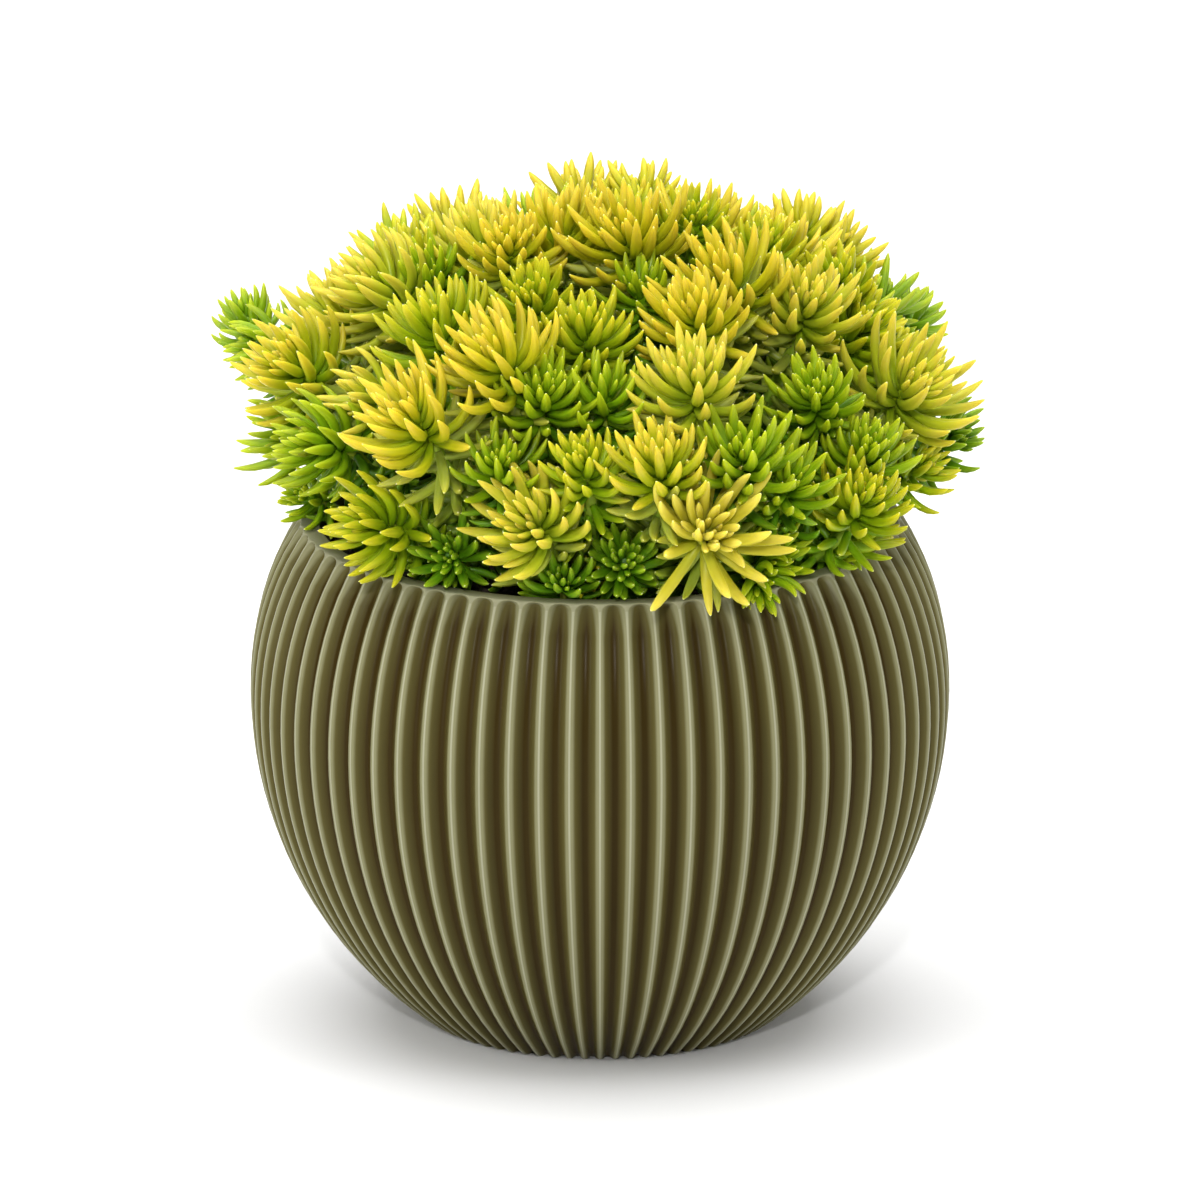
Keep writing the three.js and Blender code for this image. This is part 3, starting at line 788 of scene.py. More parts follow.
def flute_strip(settings):
    """One pitch of the pot's wall, from the middle of a crest to the middle of the next."""
    half_pitch = math.pi / FLUTE_COUNT
    depth = settings.flute_depth / MM
    arch = POT_HEIGHT - ARCH_DROP - ARCH_RISE * half_pitch * RIM_RADIUS
    offsets = [share - 1 for share in FLUTE_SHARES] + [1 - share for share in reversed(FLUTE_SHARES[:-1])]
    build = bmesh.new()
    shares = []
    grid = []
    for radius, z, fluted in wall_outline():
        line = []
        for offset in offsets:
            half_width = half_pitch * max(radius, 1)
            from_middle = math.hypot(offset * half_width, max(0, z - arch) * ARCH_BREADTH / ARCH_RISE)
            share = 1 - from_middle / half_width
            cut = depth * flute_cut(share, z) if fluted else 0
            turn = offset * half_pitch - math.pi / 2 + half_pitch
            place = Vector((math.cos(turn) * (radius - cut), math.sin(turn) * (radius - cut), z))
            line.append(build.verts.new(place * MM))
            # The share that the paint follows: painted highlight on the crests, painted shade deep in the
            # flutes.
            shares.append(painted_share(share, fluted, (z - arch) / PALE_HEIGHT + 1))
        grid.append(line)
    for lower, upper in zip(grid, grid[1:]):
        for j in range(len(lower) - 1):
            build.faces.new((lower[j], lower[j + 1], upper[j + 1], upper[j]))
    mesh = mesh_of(build, "flute_strip")
    add_attribute(mesh, "flute_share", "FLOAT", shares)
    return mesh


def flute_tree():
    """Turns one strip of wall about the pot's axis, once for each flute, and joins the strips."""
    tree = geometry_tree("Fluted Wall")
    tree.socket("Flutes", "NodeSocketInt", FLUTE_COUNT, low=3, high=200)
    tree.socket("Join Distance", "NodeSocketFloat", 0.00002)
    points = tree.add("GeometryNodePoints", {"Count": tree.given("Flutes")}).outputs[0]
    index = tree.add("GeometryNodeInputIndex").outputs[0]
    turn = tree.math("MULTIPLY", index, tree.math("DIVIDE", 2 * math.pi, tree.given("Flutes")))
    inputs = {"Points": points, "Instance": tree.given("Geometry"), "Rotation": tree.joined(0.0, 0.0, turn)}
    strips = tree.add("GeometryNodeInstanceOnPoints", inputs).outputs[0]
    real = tree.add("GeometryNodeRealizeInstances", {"Geometry": strips}).outputs[0]
    inputs = {"Geometry": real, "Distance": tree.given("Join Distance")}
    wall = tree.add("GeometryNodeMergeByDistance", inputs).outputs[0]
    return tree.finish(wall)


# Soil


def soil_body():
    """The soil's solid: an uneven top, and sides that follow the inside of the pot."""
    top = MOUTH_RADIUS - SOIL_GAP
    outline = [(top * k / SOIL_RINGS, SOIL_TOP) for k in range(SOIL_RINGS + 1)]
    outline += [(top, SOIL_TOP - SOIL_EDGE)]
    outline += [(pot_radius(z) - WALL_THICKNESS - SOIL_GAP, z) for z in (*INNER_HEIGHTS, SOIL_BOTTOM)]
    build = bmesh.new()
    loops = []
    for radius, z in [*outline, (0, SOIL_BOTTOM)]:
        loop = []
        for j in range(SOIL_SEGMENTS if radius else 1):
            turn = 2 * math.pi * j / SOIL_SEGMENTS
            place = Vector((radius * math.cos(turn), radius * math.sin(turn), z))
            if z == SOIL_TOP:
                place.z += MOUND_HEIGHT * noise.fractal(place * MOUND_SCALE, *MOUND_ROUGHNESS) - MOUND_DROP
            loop.append(build.verts.new(place * MM))
        loops.append(loop)
    for inner, outer in zip(loops, loops[1:]):
        for j in range(max(len(inner), len(outer))):
            corners = [inner[j % len(inner)], outer[j % len(outer)]]
            corners += [outer[(j + 1) % len(outer)], inner[(j + 1) % len(inner)]]
            build.faces.new(list(dict.fromkeys(corners)))
    bmesh.ops.recalc_face_normals(build, faces=build.faces)
    return mesh_of(build, "soil_body")


def soil_tree():
    """Scatters crumbs over the soil's top and fuses them with the soil."""
    tree = geometry_tree("Crumbly Soil")
    tree.socket("Density", "NodeSocketFloat", 110000.0)
    tree.socket("Crumb Size", "NodeSocketFloat", 0.0009)
    tree.socket("Seed", "NodeSocketInt", 3)
    normal = tree.parts(tree.add("GeometryNodeInputNormal").outputs[0])[2]
    height = tree.parts(tree.add("GeometryNodeInputPosition").outputs[0])[2]
    level = tree.math("GREATER_THAN", normal, CRUMB_LEVEL)
    high = tree.math("GREATER_THAN", height, (SOIL_TOP - SOIL_EDGE) * MM)
    inputs = {"Mesh": tree.given("Geometry"), "Selection": tree.math("MULTIPLY", level, high)}
    inputs |= {"Density": tree.given("Density"), "Seed": tree.given("Seed")}
    scattered = tree.add("GeometryNodeDistributePointsOnFaces", inputs)
    crumb = tree.add("GeometryNodeMeshIcoSphere", {"Radius": tree.given("Crumb Size"), "Subdivisions": 1})
    turn = tree.add("FunctionNodeRandomValue", {1: CRUMB_TURN}, data_type="FLOAT_VECTOR")
    inputs = {0: CRUMB_SCALES[0], 1: CRUMB_SCALES[1], "Seed": tree.given("Seed")}
    size = tree.add("FunctionNodeRandomValue", inputs, data_type="FLOAT_VECTOR")
    inputs = {"Points": scattered.outputs["Points"], "Instance": crumb.outputs["Mesh"]}
    inputs |= {"Rotation": turn.outputs["Value"], "Scale": size.outputs["Value"]}
    crumbs = tree.add("GeometryNodeInstanceOnPoints", inputs).outputs[0]
    return tree.finish(tree.join(crumbs, tree.given("Geometry")))


# Rosettes: where each one stands


class Rosette:
    """A head of leaves: its foot on the stem, its axis, its leaf length, tone and kind.

    In mm from the fan centre. Shown and moved say how the scene changes the solid model's rosette."""

    def __init__(self, foot, crown, leaf, tone, kind):
        self.foot = foot
        self.axis = (crown - foot).normalized()
        self.leaf = leaf
        self.tone = tone
        self.kind = kind
        self.shown = (leaf, tone)
        self.moved = Vector()
        self.size = KINDS[kind]
        self.toward = (foot + self.axis * (leaf * SEED_SHARE)).normalized()
        self.room = leaf * self.size["room"]
        self.neck = None
        self.node = None
        self.parent = None
        self.borders = np.zeros((1, 3))

    def lean(self, share):
        """The axis, foot and neck when the rosette leans this much from its straight ray to its own axis."""
        distance = self.foot.length
        axis = self.toward.lerp(self.axis, share).normalized()
        foot = (self.toward * distance).lerp(self.foot, share)
        straight = self.toward * (distance - NECK_LENGTH)
        return axis, foot, (foot - axis * NECK_LENGTH).lerp(straight, 1 - share)

    def seat(self, tree, nodes):
        """Takes the lean and the node that the solid model gave this rosette: its heart is a corner there."""
        best = None
        for share in LEANS:
            axis, foot, neck = self.lean(share)
            heart = foot + axis * self.size["heart"] + FAN_CENTRE
            _, index, distance = tree.find(heart)
            if best is None or distance < best[0]:
                best = (distance, nodes[index], axis, foot, neck)
        if best[0] > SEAT_TOLERANCE:
            raise RuntimeError(f"a listed rosette is {best[0]:.2f} mm from the solid model's nearest one")
        _, self.node, self.axis, self.foot, self.neck = best
        self.leaf, self.tone = self.shown
        self.foot = self.foot + self.moved
        if 0 < self.axis.dot(VIEWER) < FACE_ON and self.foot.z < CROWN_LINE:
            self.axis = (self.axis - VIEWER * TURNED_AWAY).normalized()


def seen_step(across, above, length):
    """A step across and up the front view, and on towards the viewer until it is as long as asked."""
    near = math.sqrt(max(0, length * length - across * across - above * above)) * math.copysign(1, length)
    sin, cos = math.sin(VIEW_ELEVATION), math.cos(VIEW_ELEVATION)
    return Vector((across, above * sin - near * cos, above * cos + near * sin))


def seen_rosettes():
    made = []
    for start, end, reach, leaf, tone, kind in SEEN_ROSETTES:
        foot = seen_step(*start, reach)
        rise = math.copysign(CROWN_BASE + leaf * CROWN_RISE, reach)
        crown = foot + seen_step(end[0] - start[0], end[1] - start[1], rise)
        made.append(Rosette(foot, crown, leaf, tone, kind))
        made[-1].shown = RESIZED.get(start, (leaf, tone))
        made[-1].moved = MOVED.get(start, Vector())
    return made


def add_back_rosettes(rosettes):
    count = 0
    for step in range(1, SPIRAL_STEPS + 1):
        polar = SPIRAL_EDGE * math.sqrt(step / SPIRAL_STEPS)
        turn = step * GOLDEN_TURN
        toward = Vector((math.sin(polar) * math.sin(turn), math.sin(polar) * math.cos(turn), math.cos(polar)))
        if all(other.toward.angle(toward) > BARE_ANGLE for other in rosettes):
            tone = BACK_TONES[count % len(BACK_TONES)]
            foot = toward * (DOME_REACH - EDGE_DROP * (polar / SPIRAL_EDGE) ** EDGE_POWER)
            crown = foot + toward + UP * LIFT
            kind = "small" if tone == "green" else "large"
            rosettes.append(Rosette(foot, crown, BACK_LEAF[tone], tone, kind))
            count += 1


def add_rim_sprigs(rosettes):
    """Puts each rim sprig on the stem of the nearest rosette that roots in the soil."""
    rooted = [members[0] for members in members_by_node(rosettes).values()]
    for start, end, foot_reach, crown_reach, leaf, tone in RIM_SPRIGS:
        sprig = Rosette(seen_step(*start, foot_reach), seen_step(*end, crown_reach), leaf, tone, "small")
        sprig.parent = min(rooted, key=lambda own: (own.neck - sprig.foot).length)
        sprig.node = sprig.parent.node
        sprig.neck = sprig.foot - sprig.axis * SPRIG_NECK
        rosettes.append(sprig)


def set_borders(rosettes):
    """Planes through the fan centre that part each rosette's wedge of space from the others'."""
    for own in rosettes:
        normals = []
        for other in rosettes:
            if other is not own:
                turn = own.toward.angle(other.toward) * own.room / (own.room + other.room)
                hinge = own.toward.cross(other.toward).normalized()
                border = Matrix.Rotation(turn, 3, hinge) @ own.toward
                normals.append(hinge.cross(border).normalized())
        own.borders = np.array(normals)


def placed_rosettes():
    """All rosettes, each with its node in the solid model."""
    rosettes = seen_rosettes()
    add_back_rosettes(rosettes)
    set_borders(rosettes)
    corners, nodes = [], []
    for name, node in frame["nodes"].items():
        if name.startswith("stem_"):
            corners += [vertex.co / MM for vertex in node.data.vertices]
            nodes += [name] * len(node.data.vertices)
    tree = KDTree(len(corners))
    for index, corner in enumerate(corners):
        tree.insert(corner, index)
    tree.balance()
    for own in rosettes:
        own.seat(tree, nodes)
    add_rim_sprigs(rosettes)
    return rosettes


def root_of(own):
    return own.toward * ((SOIL_TOP - ROOT_DEPTH - FAN_CENTRE.z) / own.toward.z)


def fork_on(parent):
    root = root_of(parent)
    buried = (SOIL_TOP + FORK_CLEARANCE - FAN_CENTRE.z - root.z) / (parent.neck.z - root.z)
    return root.lerp(parent.neck, lerp(buried, 1, FORK_SHARE))


# Leaves


def clear_of_pot(point, radius):
    z = point.z + FAN_CENTRE.z
    reach = math.hypot(point.x, point.y)
    if z - radius > POT_HEIGHT + POT_GAP:
        return True
    outside = reach - radius > pot_radius(z) + POT_GAP
    inside = reach + radius < MOUTH_RADIUS - POT_GAP and z - radius > SOIL_TOP + POT_GAP
    return outside or inside


def in_box(point):
    """Whether a point lies inside the solid model's box, with a margin."""
    place = (point + FAN_CENTRE) * MM
    margin = LEAF_MARGIN * MM
    low, high = CAD_BOX
    return all(low[i] + margin < place[i] < high[i] - margin for i in range(3))


def profile_width(along):
    """Width of a leaf at a share of its length, as a share of its full width."""
    for (low, start), (high, end) in zip(LEAF_PROFILE, LEAF_PROFILE[1:]):
        if along <= high:
            return lerp(start, end, (along - low) / (high - low))
    return 0


class Leaf:
    """One leaf: where it starts, the way it points out, its rosette's axis there and how it bends. In mm."""

    def __init__(self, root, out, axis, length, width, tilt, sway, colours):
        self.root = root
        self.out = out
        self.axis = axis
        self.length = length
        self.width = width
        self.tilt = tilt
        self.sway = sway
        self.colours = colours

    def point(self, along):
        start, end = self.tilt
        bend = end - start
        turned = start + bend * along
        out = (math.cos(start) - math.cos(turned)) / bend
        up = (math.sin(turned) - math.sin(start)) / bend
        side = self.axis.cross(self.out) * (self.sway * along * along)
        return self.root + (self.out * out + self.axis * up + side) * self.length

    def spheres(self):
        """Points up the leaf with its radius there."""
        radii = [max(LEAST_RADIUS, self.width * profile_width(along)) for along in TEST_STEPS]
        return [(self.point(along), radius) for along, radius in zip(TEST_STEPS, radii)]

    def moved(self, pull, nudge):
        """The same leaf, drawn towards the axis or away from it and turned aside."""
        start, end = self.tilt
        out = Matrix.Rotation(nudge, 3, self.axis) @ self.out
        length = self.length * lerp(DRAWN_IN_LENGTH, 1, min(1, pull))
        tilt = (min(STEEPEST_TILT, start * pull), end * pull)
        return Leaf(self.root, out, self.axis, length, self.width, tilt, self.sway, self.colours)


class Crowd:
    """The room that leaves and stems take up, on a grid of cells. In mm from the fan centre."""

    def __init__(self):
        self.cells = {}

    def take(self, point, radius):
        x, y, z = (int(value // CROWD_CELL) for value in point)
        for dx in (-1, 0, 1):
            for dy in (-1, 0, 1):
                for dz in (-1, 0, 1):
                    self.cells.setdefault((x + dx, y + dy, z + dz), []).append((point, radius))

    def pressure(self, point, radius):
        """How deep a sphere would sink into what is there already."""
        total = 0
        cell = tuple(int(value // CROWD_CELL) for value in point)
        for other, room in self.cells.get(cell, ()):
            total += max(0, radius + room - (point - other).length)
        return total

    def seat(self, leaf, own):
        """The leaf where it crowds the others least, or None where there is no room for it."""
        best = None
        for pull in PULLS:
            for nudge in NUDGES:
                trial = leaf.moved(pull, nudge)
                spheres = trial.spheres()
                tip = spheres[-1][0]
                beyond = float((own.borders @ np.array(tip)).max())
                clear = all(clear_of_pot(point, radius) for point, radius in spheres)
                if not clear or beyond > DEEPEST_OVERLAP or not in_box(tip):
                    continue
                crowding = sum(self.pressure(point, radius) for point, radius in spheres)
                overlap = OVERLAP_COST * max(0, beyond - OVERLAP)
                cost = crowding + PULL_COST * abs(1 - pull) + overlap + abs(nudge)
                if best is None or cost < best[0]:
                    best = (cost, crowding, trial)
                if crowding < FREE_ENOUGH and beyond < OVERLAP:
                    return self.keep(trial)
        if best is None or best[1] > TOO_CROWDED:
            return None
        return self.keep(best[2])

    def keep(self, leaf):
        for point, radius in leaf.spheres():
            self.take(point, radius)
        return leaf


def shaded_colours(tone, ripe, rng):
    """The base, body and tip colours of one leaf. Ripe leaves are yellower, unripe ones greener."""
    light = LEAF_LIGHT + rng.uniform(-LIGHT_SPREAD, LIGHT_SPREAD)
    base, body, tip = (linear(code) * light for code in TONES[tone])
    return base, base.lerp(body, lerp(UNRIPE_BODY, 1, ripe)), body.lerp(tip, lerp(UNRIPE_TIP, 1, ripe))


def spoke(axis, turn):
    """A direction at right angles to the axis, turned about it."""
    side = axis.cross(Vector((1, 0, 0))).normalized()
    return (side * math.cos(turn) + axis.cross(side) * math.sin(turn)).normalized()


def leaf_width(own, settings):
    """Half the width of a rosette's leaves, which are slimmer where they are short."""
    return settings.leaf_width / MM / 2 * min(1, BASE_WIDTH + own.leaf / WIDTH_DIVISOR)


def head_leaves(own, settings, rng):
    """The leaves of a rosette, in a spiral from its heart down to its neck."""
    count = settings.large_leaves if own.kind == "large" else settings.small_leaves
    vary = HEAD_VARIETY
    phase = rng.uniform(0, 2 * math.pi)
    for k in range(count):
        low = (k + 0.5) / count
        out = spoke(own.axis, phase + k * GOLDEN_TURN + rng.uniform(*vary["turn"]))
        height = lerp(own.size["heart"] - BELOW_HEART, -BELOW_FOOT, low**ROOT_POWER)
        root = own.foot + own.axis * height + out * ROOT_OUT
        length = own.leaf * eased(low, *HEAD_LENGTH) * rng.uniform(*vary["length"]) * own.size["slender"]
        width = leaf_width(own, settings) * eased(low, *HEAD_WIDTH)
        start = eased(low, *HEAD_START_TILT) + rng.uniform(*vary["start"])
        end = eased(low, *HEAD_END_TILT) + rng.uniform(*vary["end"])
        tilt = (start, min(end, start - LEAST_BEND))
        colours = shaded_colours(own.tone, 1 - HEAD_UNRIPE * low**2, rng)
        yield Leaf(root, out, own.axis, length, width, tilt, rng.uniform(*vary["sway"]), colours)


def stem_leaves(own, path, settings, rng):
    """Older, greener leaves down the stem under a rosette, deepened further down partly by painted shade."""
    vary = STEM_VARIETY
    phase = rng.uniform(0, 2 * math.pi)
    reach = (path[-1] - path[0]).length * STEM_LEAF_SHARE
    old_tone = OLD_LEAF_TONES.get(own.tone, "old")
    deep = linear(TONES["deep"][1])
    down = 0
    for k in range(STEM_LEAVES):
        down += lerp(*STEM_LEAF_STEPS, min(1, down / reach))
        share = down / reach
        if share > 1:
            break
        root, axis = along_path(path, down)
        out = spoke(axis, phase + k * GOLDEN_TURN + rng.uniform(*vary["turn"]))
        length = max(own.leaf, LEAST_LEAF) * lerp(*STEM_LEAF_LENGTHS, share) * rng.uniform(*vary["length"])
        start = STEM_TILT[0] + rng.uniform(*vary["start"])
        end = STEM_TILT[1] + rng.uniform(*vary["end"])
        width = leaf_width(own, settings) * lerp(*STEM_LEAF_WIDTHS, share)
        tone = own.tone if k < HEAD_TONED else old_tone
        # Partly painted shade: further down the stem the colours turn towards deep green.
        depth = min(1, max(0, share * SHADE_DEEPENING - SHADE_DEEPENING_DELAY))
        colours = shaded_colours(tone, lerp(*STEM_LEAF_RIPENESS, share), rng)
        colours = tuple(colour.lerp(deep, depth) for colour in colours)
        sway = rng.uniform(*vary["sway"])
        yield Leaf(root + out * ROOT_OUT, out, axis, length, width, (start, end), sway, colours)


def heart_leaves(own, settings, rng):
    """The young leaves that stand close together on a rosette's heart."""
    phase = rng.uniform(0, 2 * math.pi)
    for k in range(HEART_LEAVES):
        low = (k + 0.5) / HEART_LEAVES
        out = spoke(own.axis, phase + k * GOLDEN_TURN)
        root = own.foot + own.axis * (own.size["heart"] - HEART_DEPTH)
        root += out * (HEART_MIDDLE + HEART_SPREAD * math.sqrt(low))
        length = own.leaf * lerp(*HEART_LENGTHS, low) * rng.uniform(*HEART_VARIETY)
        tilt = (lerp(*HEART_START_TILTS, low), lerp(*HEART_END_TILTS, low))
        width = leaf_width(own, settings) * HEART_WIDTH
        leaf = Leaf(root, out, own.axis, length, width, tilt, 0, shaded_colours(own.tone, 1, rng))
        if in_box(leaf.point(1)):
            yield leaf


def seated(leaves, own, crowd):
    """Those of a rosette's leaves that find room, where they find it."""
    tries = [crowd.seat(leaf, own) for leaf in leaves]
    return [leaf for leaf in tries if leaf is not None]


def stem_path(start, own):
    """Points up the middle of a stem, from where it starts through its neck to the rosette's foot."""
    bend = (own.parent.neck if own.parent else start).lerp(own.neck, 0.5)
    shares = [k / STEM_STEPS for k in range(STEM_STEPS)]
    points = [start.lerp(bend, share).lerp(bend.lerp(own.neck, share), share) for share in shares]
    return points + [own.neck.lerp(own.foot, k / NECK_STEPS) for k in range(NECK_STEPS + 1)]


def along_path(path, down):
    """The point this far down from the path's upper end, and the path's upward direction there."""
    for upper, lower in zip(reversed(path), reversed(path[:-1])):
        length = (upper - lower).length
        if down <= length:
            return upper.lerp(lower, down / length), (upper - lower).normalized()
        down -= length
    return path[0], (path[1] - path[0]).normalized()


def plant_mesh(name, leaves, stems):
    """The start of a leafy stem: a loose point for each leaf, and the stems' middle lines."""
    mesh = bpy.data.meshes.new(name)
    places = [leaf.root for leaf in leaves]
    edges = []
    flags = [True] * len(leaves)
    thick = [0.0] * len(leaves)
    colours = [leaf.colours for leaf in leaves]
    for path, radii, tones in stems:
        first = len(places)
        edges += [(first + k, first + k + 1) for k in range(len(path) - 1)]
        places += path
        flags += [False] * len(path)
        thick += [radius * MM for radius in radii]
        colours += tones
    places = [(place + FAN_CENTRE) * MM for place in places]
    mesh.from_pydata(places, edges, [])
    add_attribute(mesh, "is_leaf", "BOOLEAN", flags)
    add_attribute(mesh, "thick", "FLOAT", thick)
    blank = [Vector()] * (len(places) - len(leaves))
    vectors = {
        "root": places,
        "out": [leaf.out for leaf in leaves] + blank,
        "axis": [leaf.axis for leaf in leaves] + blank,
        "size": [(leaf.length * MM, leaf.width * MM, leaf.sway) for leaf in leaves] + blank,
        "tilt": [(leaf.tilt[0], leaf.tilt[1] - leaf.tilt[0], 0) for leaf in leaves] + blank,
    }
    for part, values in zip(LEAF_PARTS, zip(*colours)):
        vectors[f"leaf_{part}"] = values
    for attribute, values in vectors.items():
        add_attribute(mesh, attribute, "FLOAT_VECTOR", values)
    return mesh


# Attributes that a leafy stem needs only while it grows
HELPERS = ("is_leaf", "thick", "root", "out", "axis", "size", "tilt", "unit")


def leaf_tree():
    """Grows a bent, pointed, fleshy leaf on every loose point and a round stem along every line."""
    tree = geometry_tree("Leafy Stem")
    tree.socket("Leaf Sides", "NodeSocketInt", 6, low=3, high=16)
    tree.socket("Leaf Rings", "NodeSocketInt", 9, low=4, high=24)
    tree.socket("Flatness", "NodeSocketFloat", 0.35)
    tree.socket("Stem Sides", "NodeSocketInt", 8, low=3, high=24)
    inputs = {"Segments": tree.given("Leaf Sides"), "Rings": tree.given("Leaf Rings")}
    unit = tree.add("GeometryNodeMeshUVSphere", inputs)
    x, y, z = tree.parts(tree.add("GeometryNodeInputPosition").outputs[0])
    around = tree.vector("NORMALIZE", tree.joined(x, y, 0.0))
    around_x, around_y, _ = tree.parts(around)
    along = tree.math("MULTIPLY_ADD", z, 0.5, 0.5)
    shape = tree.store(unit.outputs["Mesh"], "unit", tree.joined(around_x, around_y, along), "FLOAT_VECTOR")
    split = tree.add("GeometryNodeSeparateGeometry", {"Geometry": tree.given("Geometry")}, domain="POINT")
    tree.feed(split.inputs["Selection"], tree.read("is_leaf", "BOOLEAN"))
    inputs = {"Points": split.outputs["Selection"], "Instance": shape}
    leaves = tree.add("GeometryNodeInstanceOnPoints", inputs)
    line = tree.add("GeometryNodeMeshToCurve", {"Mesh": split.outputs["Inverted"]}).outputs[0]
    inputs = {"Resolution": tree.given("Stem Sides"), "Radius": 1.0}
    ring = tree.add("GeometryNodeCurvePrimitiveCircle", inputs)
    inputs = {"Curve": line, "Profile Curve": ring.outputs[0], "Scale": tree.read("thick"), "Fill Caps": True}
    stem = tree.add("GeometryNodeCurveToMesh", inputs).outputs[0]
    joined = tree.join(stem, leaves.outputs[0])
    real = tree.add("GeometryNodeRealizeInstances", {"Geometry": joined}).outputs[0]
    place, reach = leaf_surface(tree)
    inputs = {"Geometry": real, "Selection": tree.read("is_leaf", "BOOLEAN"), "Position": place}
    bent = tree.add("GeometryNodeSetPosition", inputs).outputs[0]
    return tree.finish(tree.store(bent, "along", reach))


def leaf_surface(tree):
    """Where each point of a leaf's skin lies, and how far along the leaf it is."""
    around_x, around_y, along = tree.parts(tree.read("unit", "FLOAT_VECTOR"))
    length, width, sway = tree.parts(tree.read("size", "FLOAT_VECTOR"))
    start, bend, _ = tree.parts(tree.read("tilt", "FLOAT_VECTOR"))
    out, axis = tree.read("out", "FLOAT_VECTOR"), tree.read("axis", "FLOAT_VECTOR")
    side = tree.vector("CROSS_PRODUCT", axis, out)
    turned = tree.math("MULTIPLY_ADD", bend, along, start)
    sin, cos = tree.math("SINE", turned), tree.math("COSINE", turned)
    reach = tree.math("DIVIDE", tree.math("SUBTRACT", tree.math("COSINE", start), cos), bend)
    rise = tree.math("DIVIDE", tree.math("SUBTRACT", sin, tree.math("SINE", start)), bend)
    aside = tree.math("MULTIPLY", sway, tree.math("MULTIPLY", along, along))
    line = tree.vector("ADD", tree.scaled(out, reach), tree.scaled(axis, rise))
    line = tree.scaled(tree.vector("ADD", line, tree.scaled(side, aside)), length)
    middle = tree.vector("ADD", tree.read("root", "FLOAT_VECTOR"), line)
    normal = tree.vector("SUBTRACT", tree.scaled(out, cos), tree.scaled(axis, sin))
    profile = tree.add("ShaderNodeFloatCurve", {"Factor": 1.0, "Value": along})
    curve = profile.mapping.curves[0]
    curve.points[0].location = LEAF_PROFILE[0]
    curve.points[1].location = LEAF_PROFILE[-1]
    for place in LEAF_PROFILE[1:-1]:
        curve.points.new(*place)
    profile.mapping.update()
    radius = tree.math("MULTIPLY", profile.outputs[0], width)
    half_flat = tree.math("MULTIPLY", tree.given("Flatness"), 0.5)
    round_part = tree.math("MULTIPLY", around_x, tree.math("SUBTRACT", 1.0, half_flat))
    flat_part = tree.math("MULTIPLY", tree.math("MULTIPLY", around_x, around_x), half_flat)
    deep = tree.scaled(normal, tree.math("MULTIPLY", radius, tree.math("ADD", round_part, flat_part)))
    broad = tree.scaled(side, tree.math("MULTIPLY", radius, around_y))
    return tree.vector("ADD", middle, tree.vector("ADD", deep, broad)), along


def stem_skin(path, radius):
    """The radii and colours up a stem."""
    base = linear(TONES["deep"][1])
    top = linear(TONES["old"][1])
    last = len(path) - 1
    radii = [lerp(radius, radius * STEM_TAPER, k / last) for k in range(last + 1)]
    tones = [(base.lerp(top, (k / last) ** 2),) * 3 for k in range(last + 1)]
    return radii, tones


def plan_leaves(rosettes, settings):
    """Each rosette's stem path and leaves.

    The largest heads take their room first, then the stem leaves. The young leaves on the hearts take
    none."""
    crowd = Crowd()
    rng = random.Random(settings.seed)
    plans = {}
    for members in members_by_node(rosettes).values():
        for own in members:
            path = stem_path(stem_start(own, members[0]), own)
            plans[own] = (path, [])
            for point in path[ROOT_STEPS:]:
                crowd.take(point, own.size["stem"])
    by_size = sorted(rosettes, key=lambda own: (own.parent is None, -own.leaf))
    for own in by_size:
        plans[own][1].extend(seated(head_leaves(own, settings, rng), own, crowd))
    for own in by_size:
        plans[own][1].extend(seated(stem_leaves(own, plans[own][0], settings, rng), own, crowd))
    for own in by_size:
        plans[own][1].extend(heart_leaves(own, settings, rng))
    return plans


def stem_start(own, first):
    """Where a rosette's stem starts: in the soil, at the fork of a side shoot or on a sprig's parent."""
    if own.parent:
        return root_of(own.parent).lerp(own.parent.neck, SPRIG_START)
    return root_of(own) if own is first else fork_on(first)


def members_by_node(rosettes):
    """The rosettes of each node of the solid model: the one in the soil, then its side shoot and sprigs."""
    members = {}
    for own in rosettes:
        members.setdefault(own.node, []).append(own)
    for group in members.values():
        group.sort(key=lambda own: (own.parent is not None, own.kind))
    return members


def grow_stem(name, members, plans, settings, tree, material):
    """One leafy stem with its rosette, and its side shoot and sprigs where it has any."""
    leaves, stems = [], []
    for k, own in enumerate(members):
        path, grown_leaves = plans[own]
        leaves += grown_leaves
        radii, tones = stem_skin(path, own.size["stem"] if k == 0 else FORK_RADIUS)
        core = [own.foot + own.axis * (own.size["heart"] * share) for share, _ in CORE]
        radii += [own.size["stem"] * share for _, share in CORE]
        tones += [(linear(TONES[own.tone][0]),) * 3] * len(CORE)
        stems.append((path + core, radii, tones))
    start_mesh = plant_mesh(f"{name}_points", leaves, stems)
    values = {"Leaf Sides": settings.leaf_sides, "Leaf Rings": settings.leaf_rings, "Material": material}
    piece = grown(name, start_mesh, tree, values)
    drop_attributes(piece.data, HELPERS)
    return piece


# Settings, operators and panel


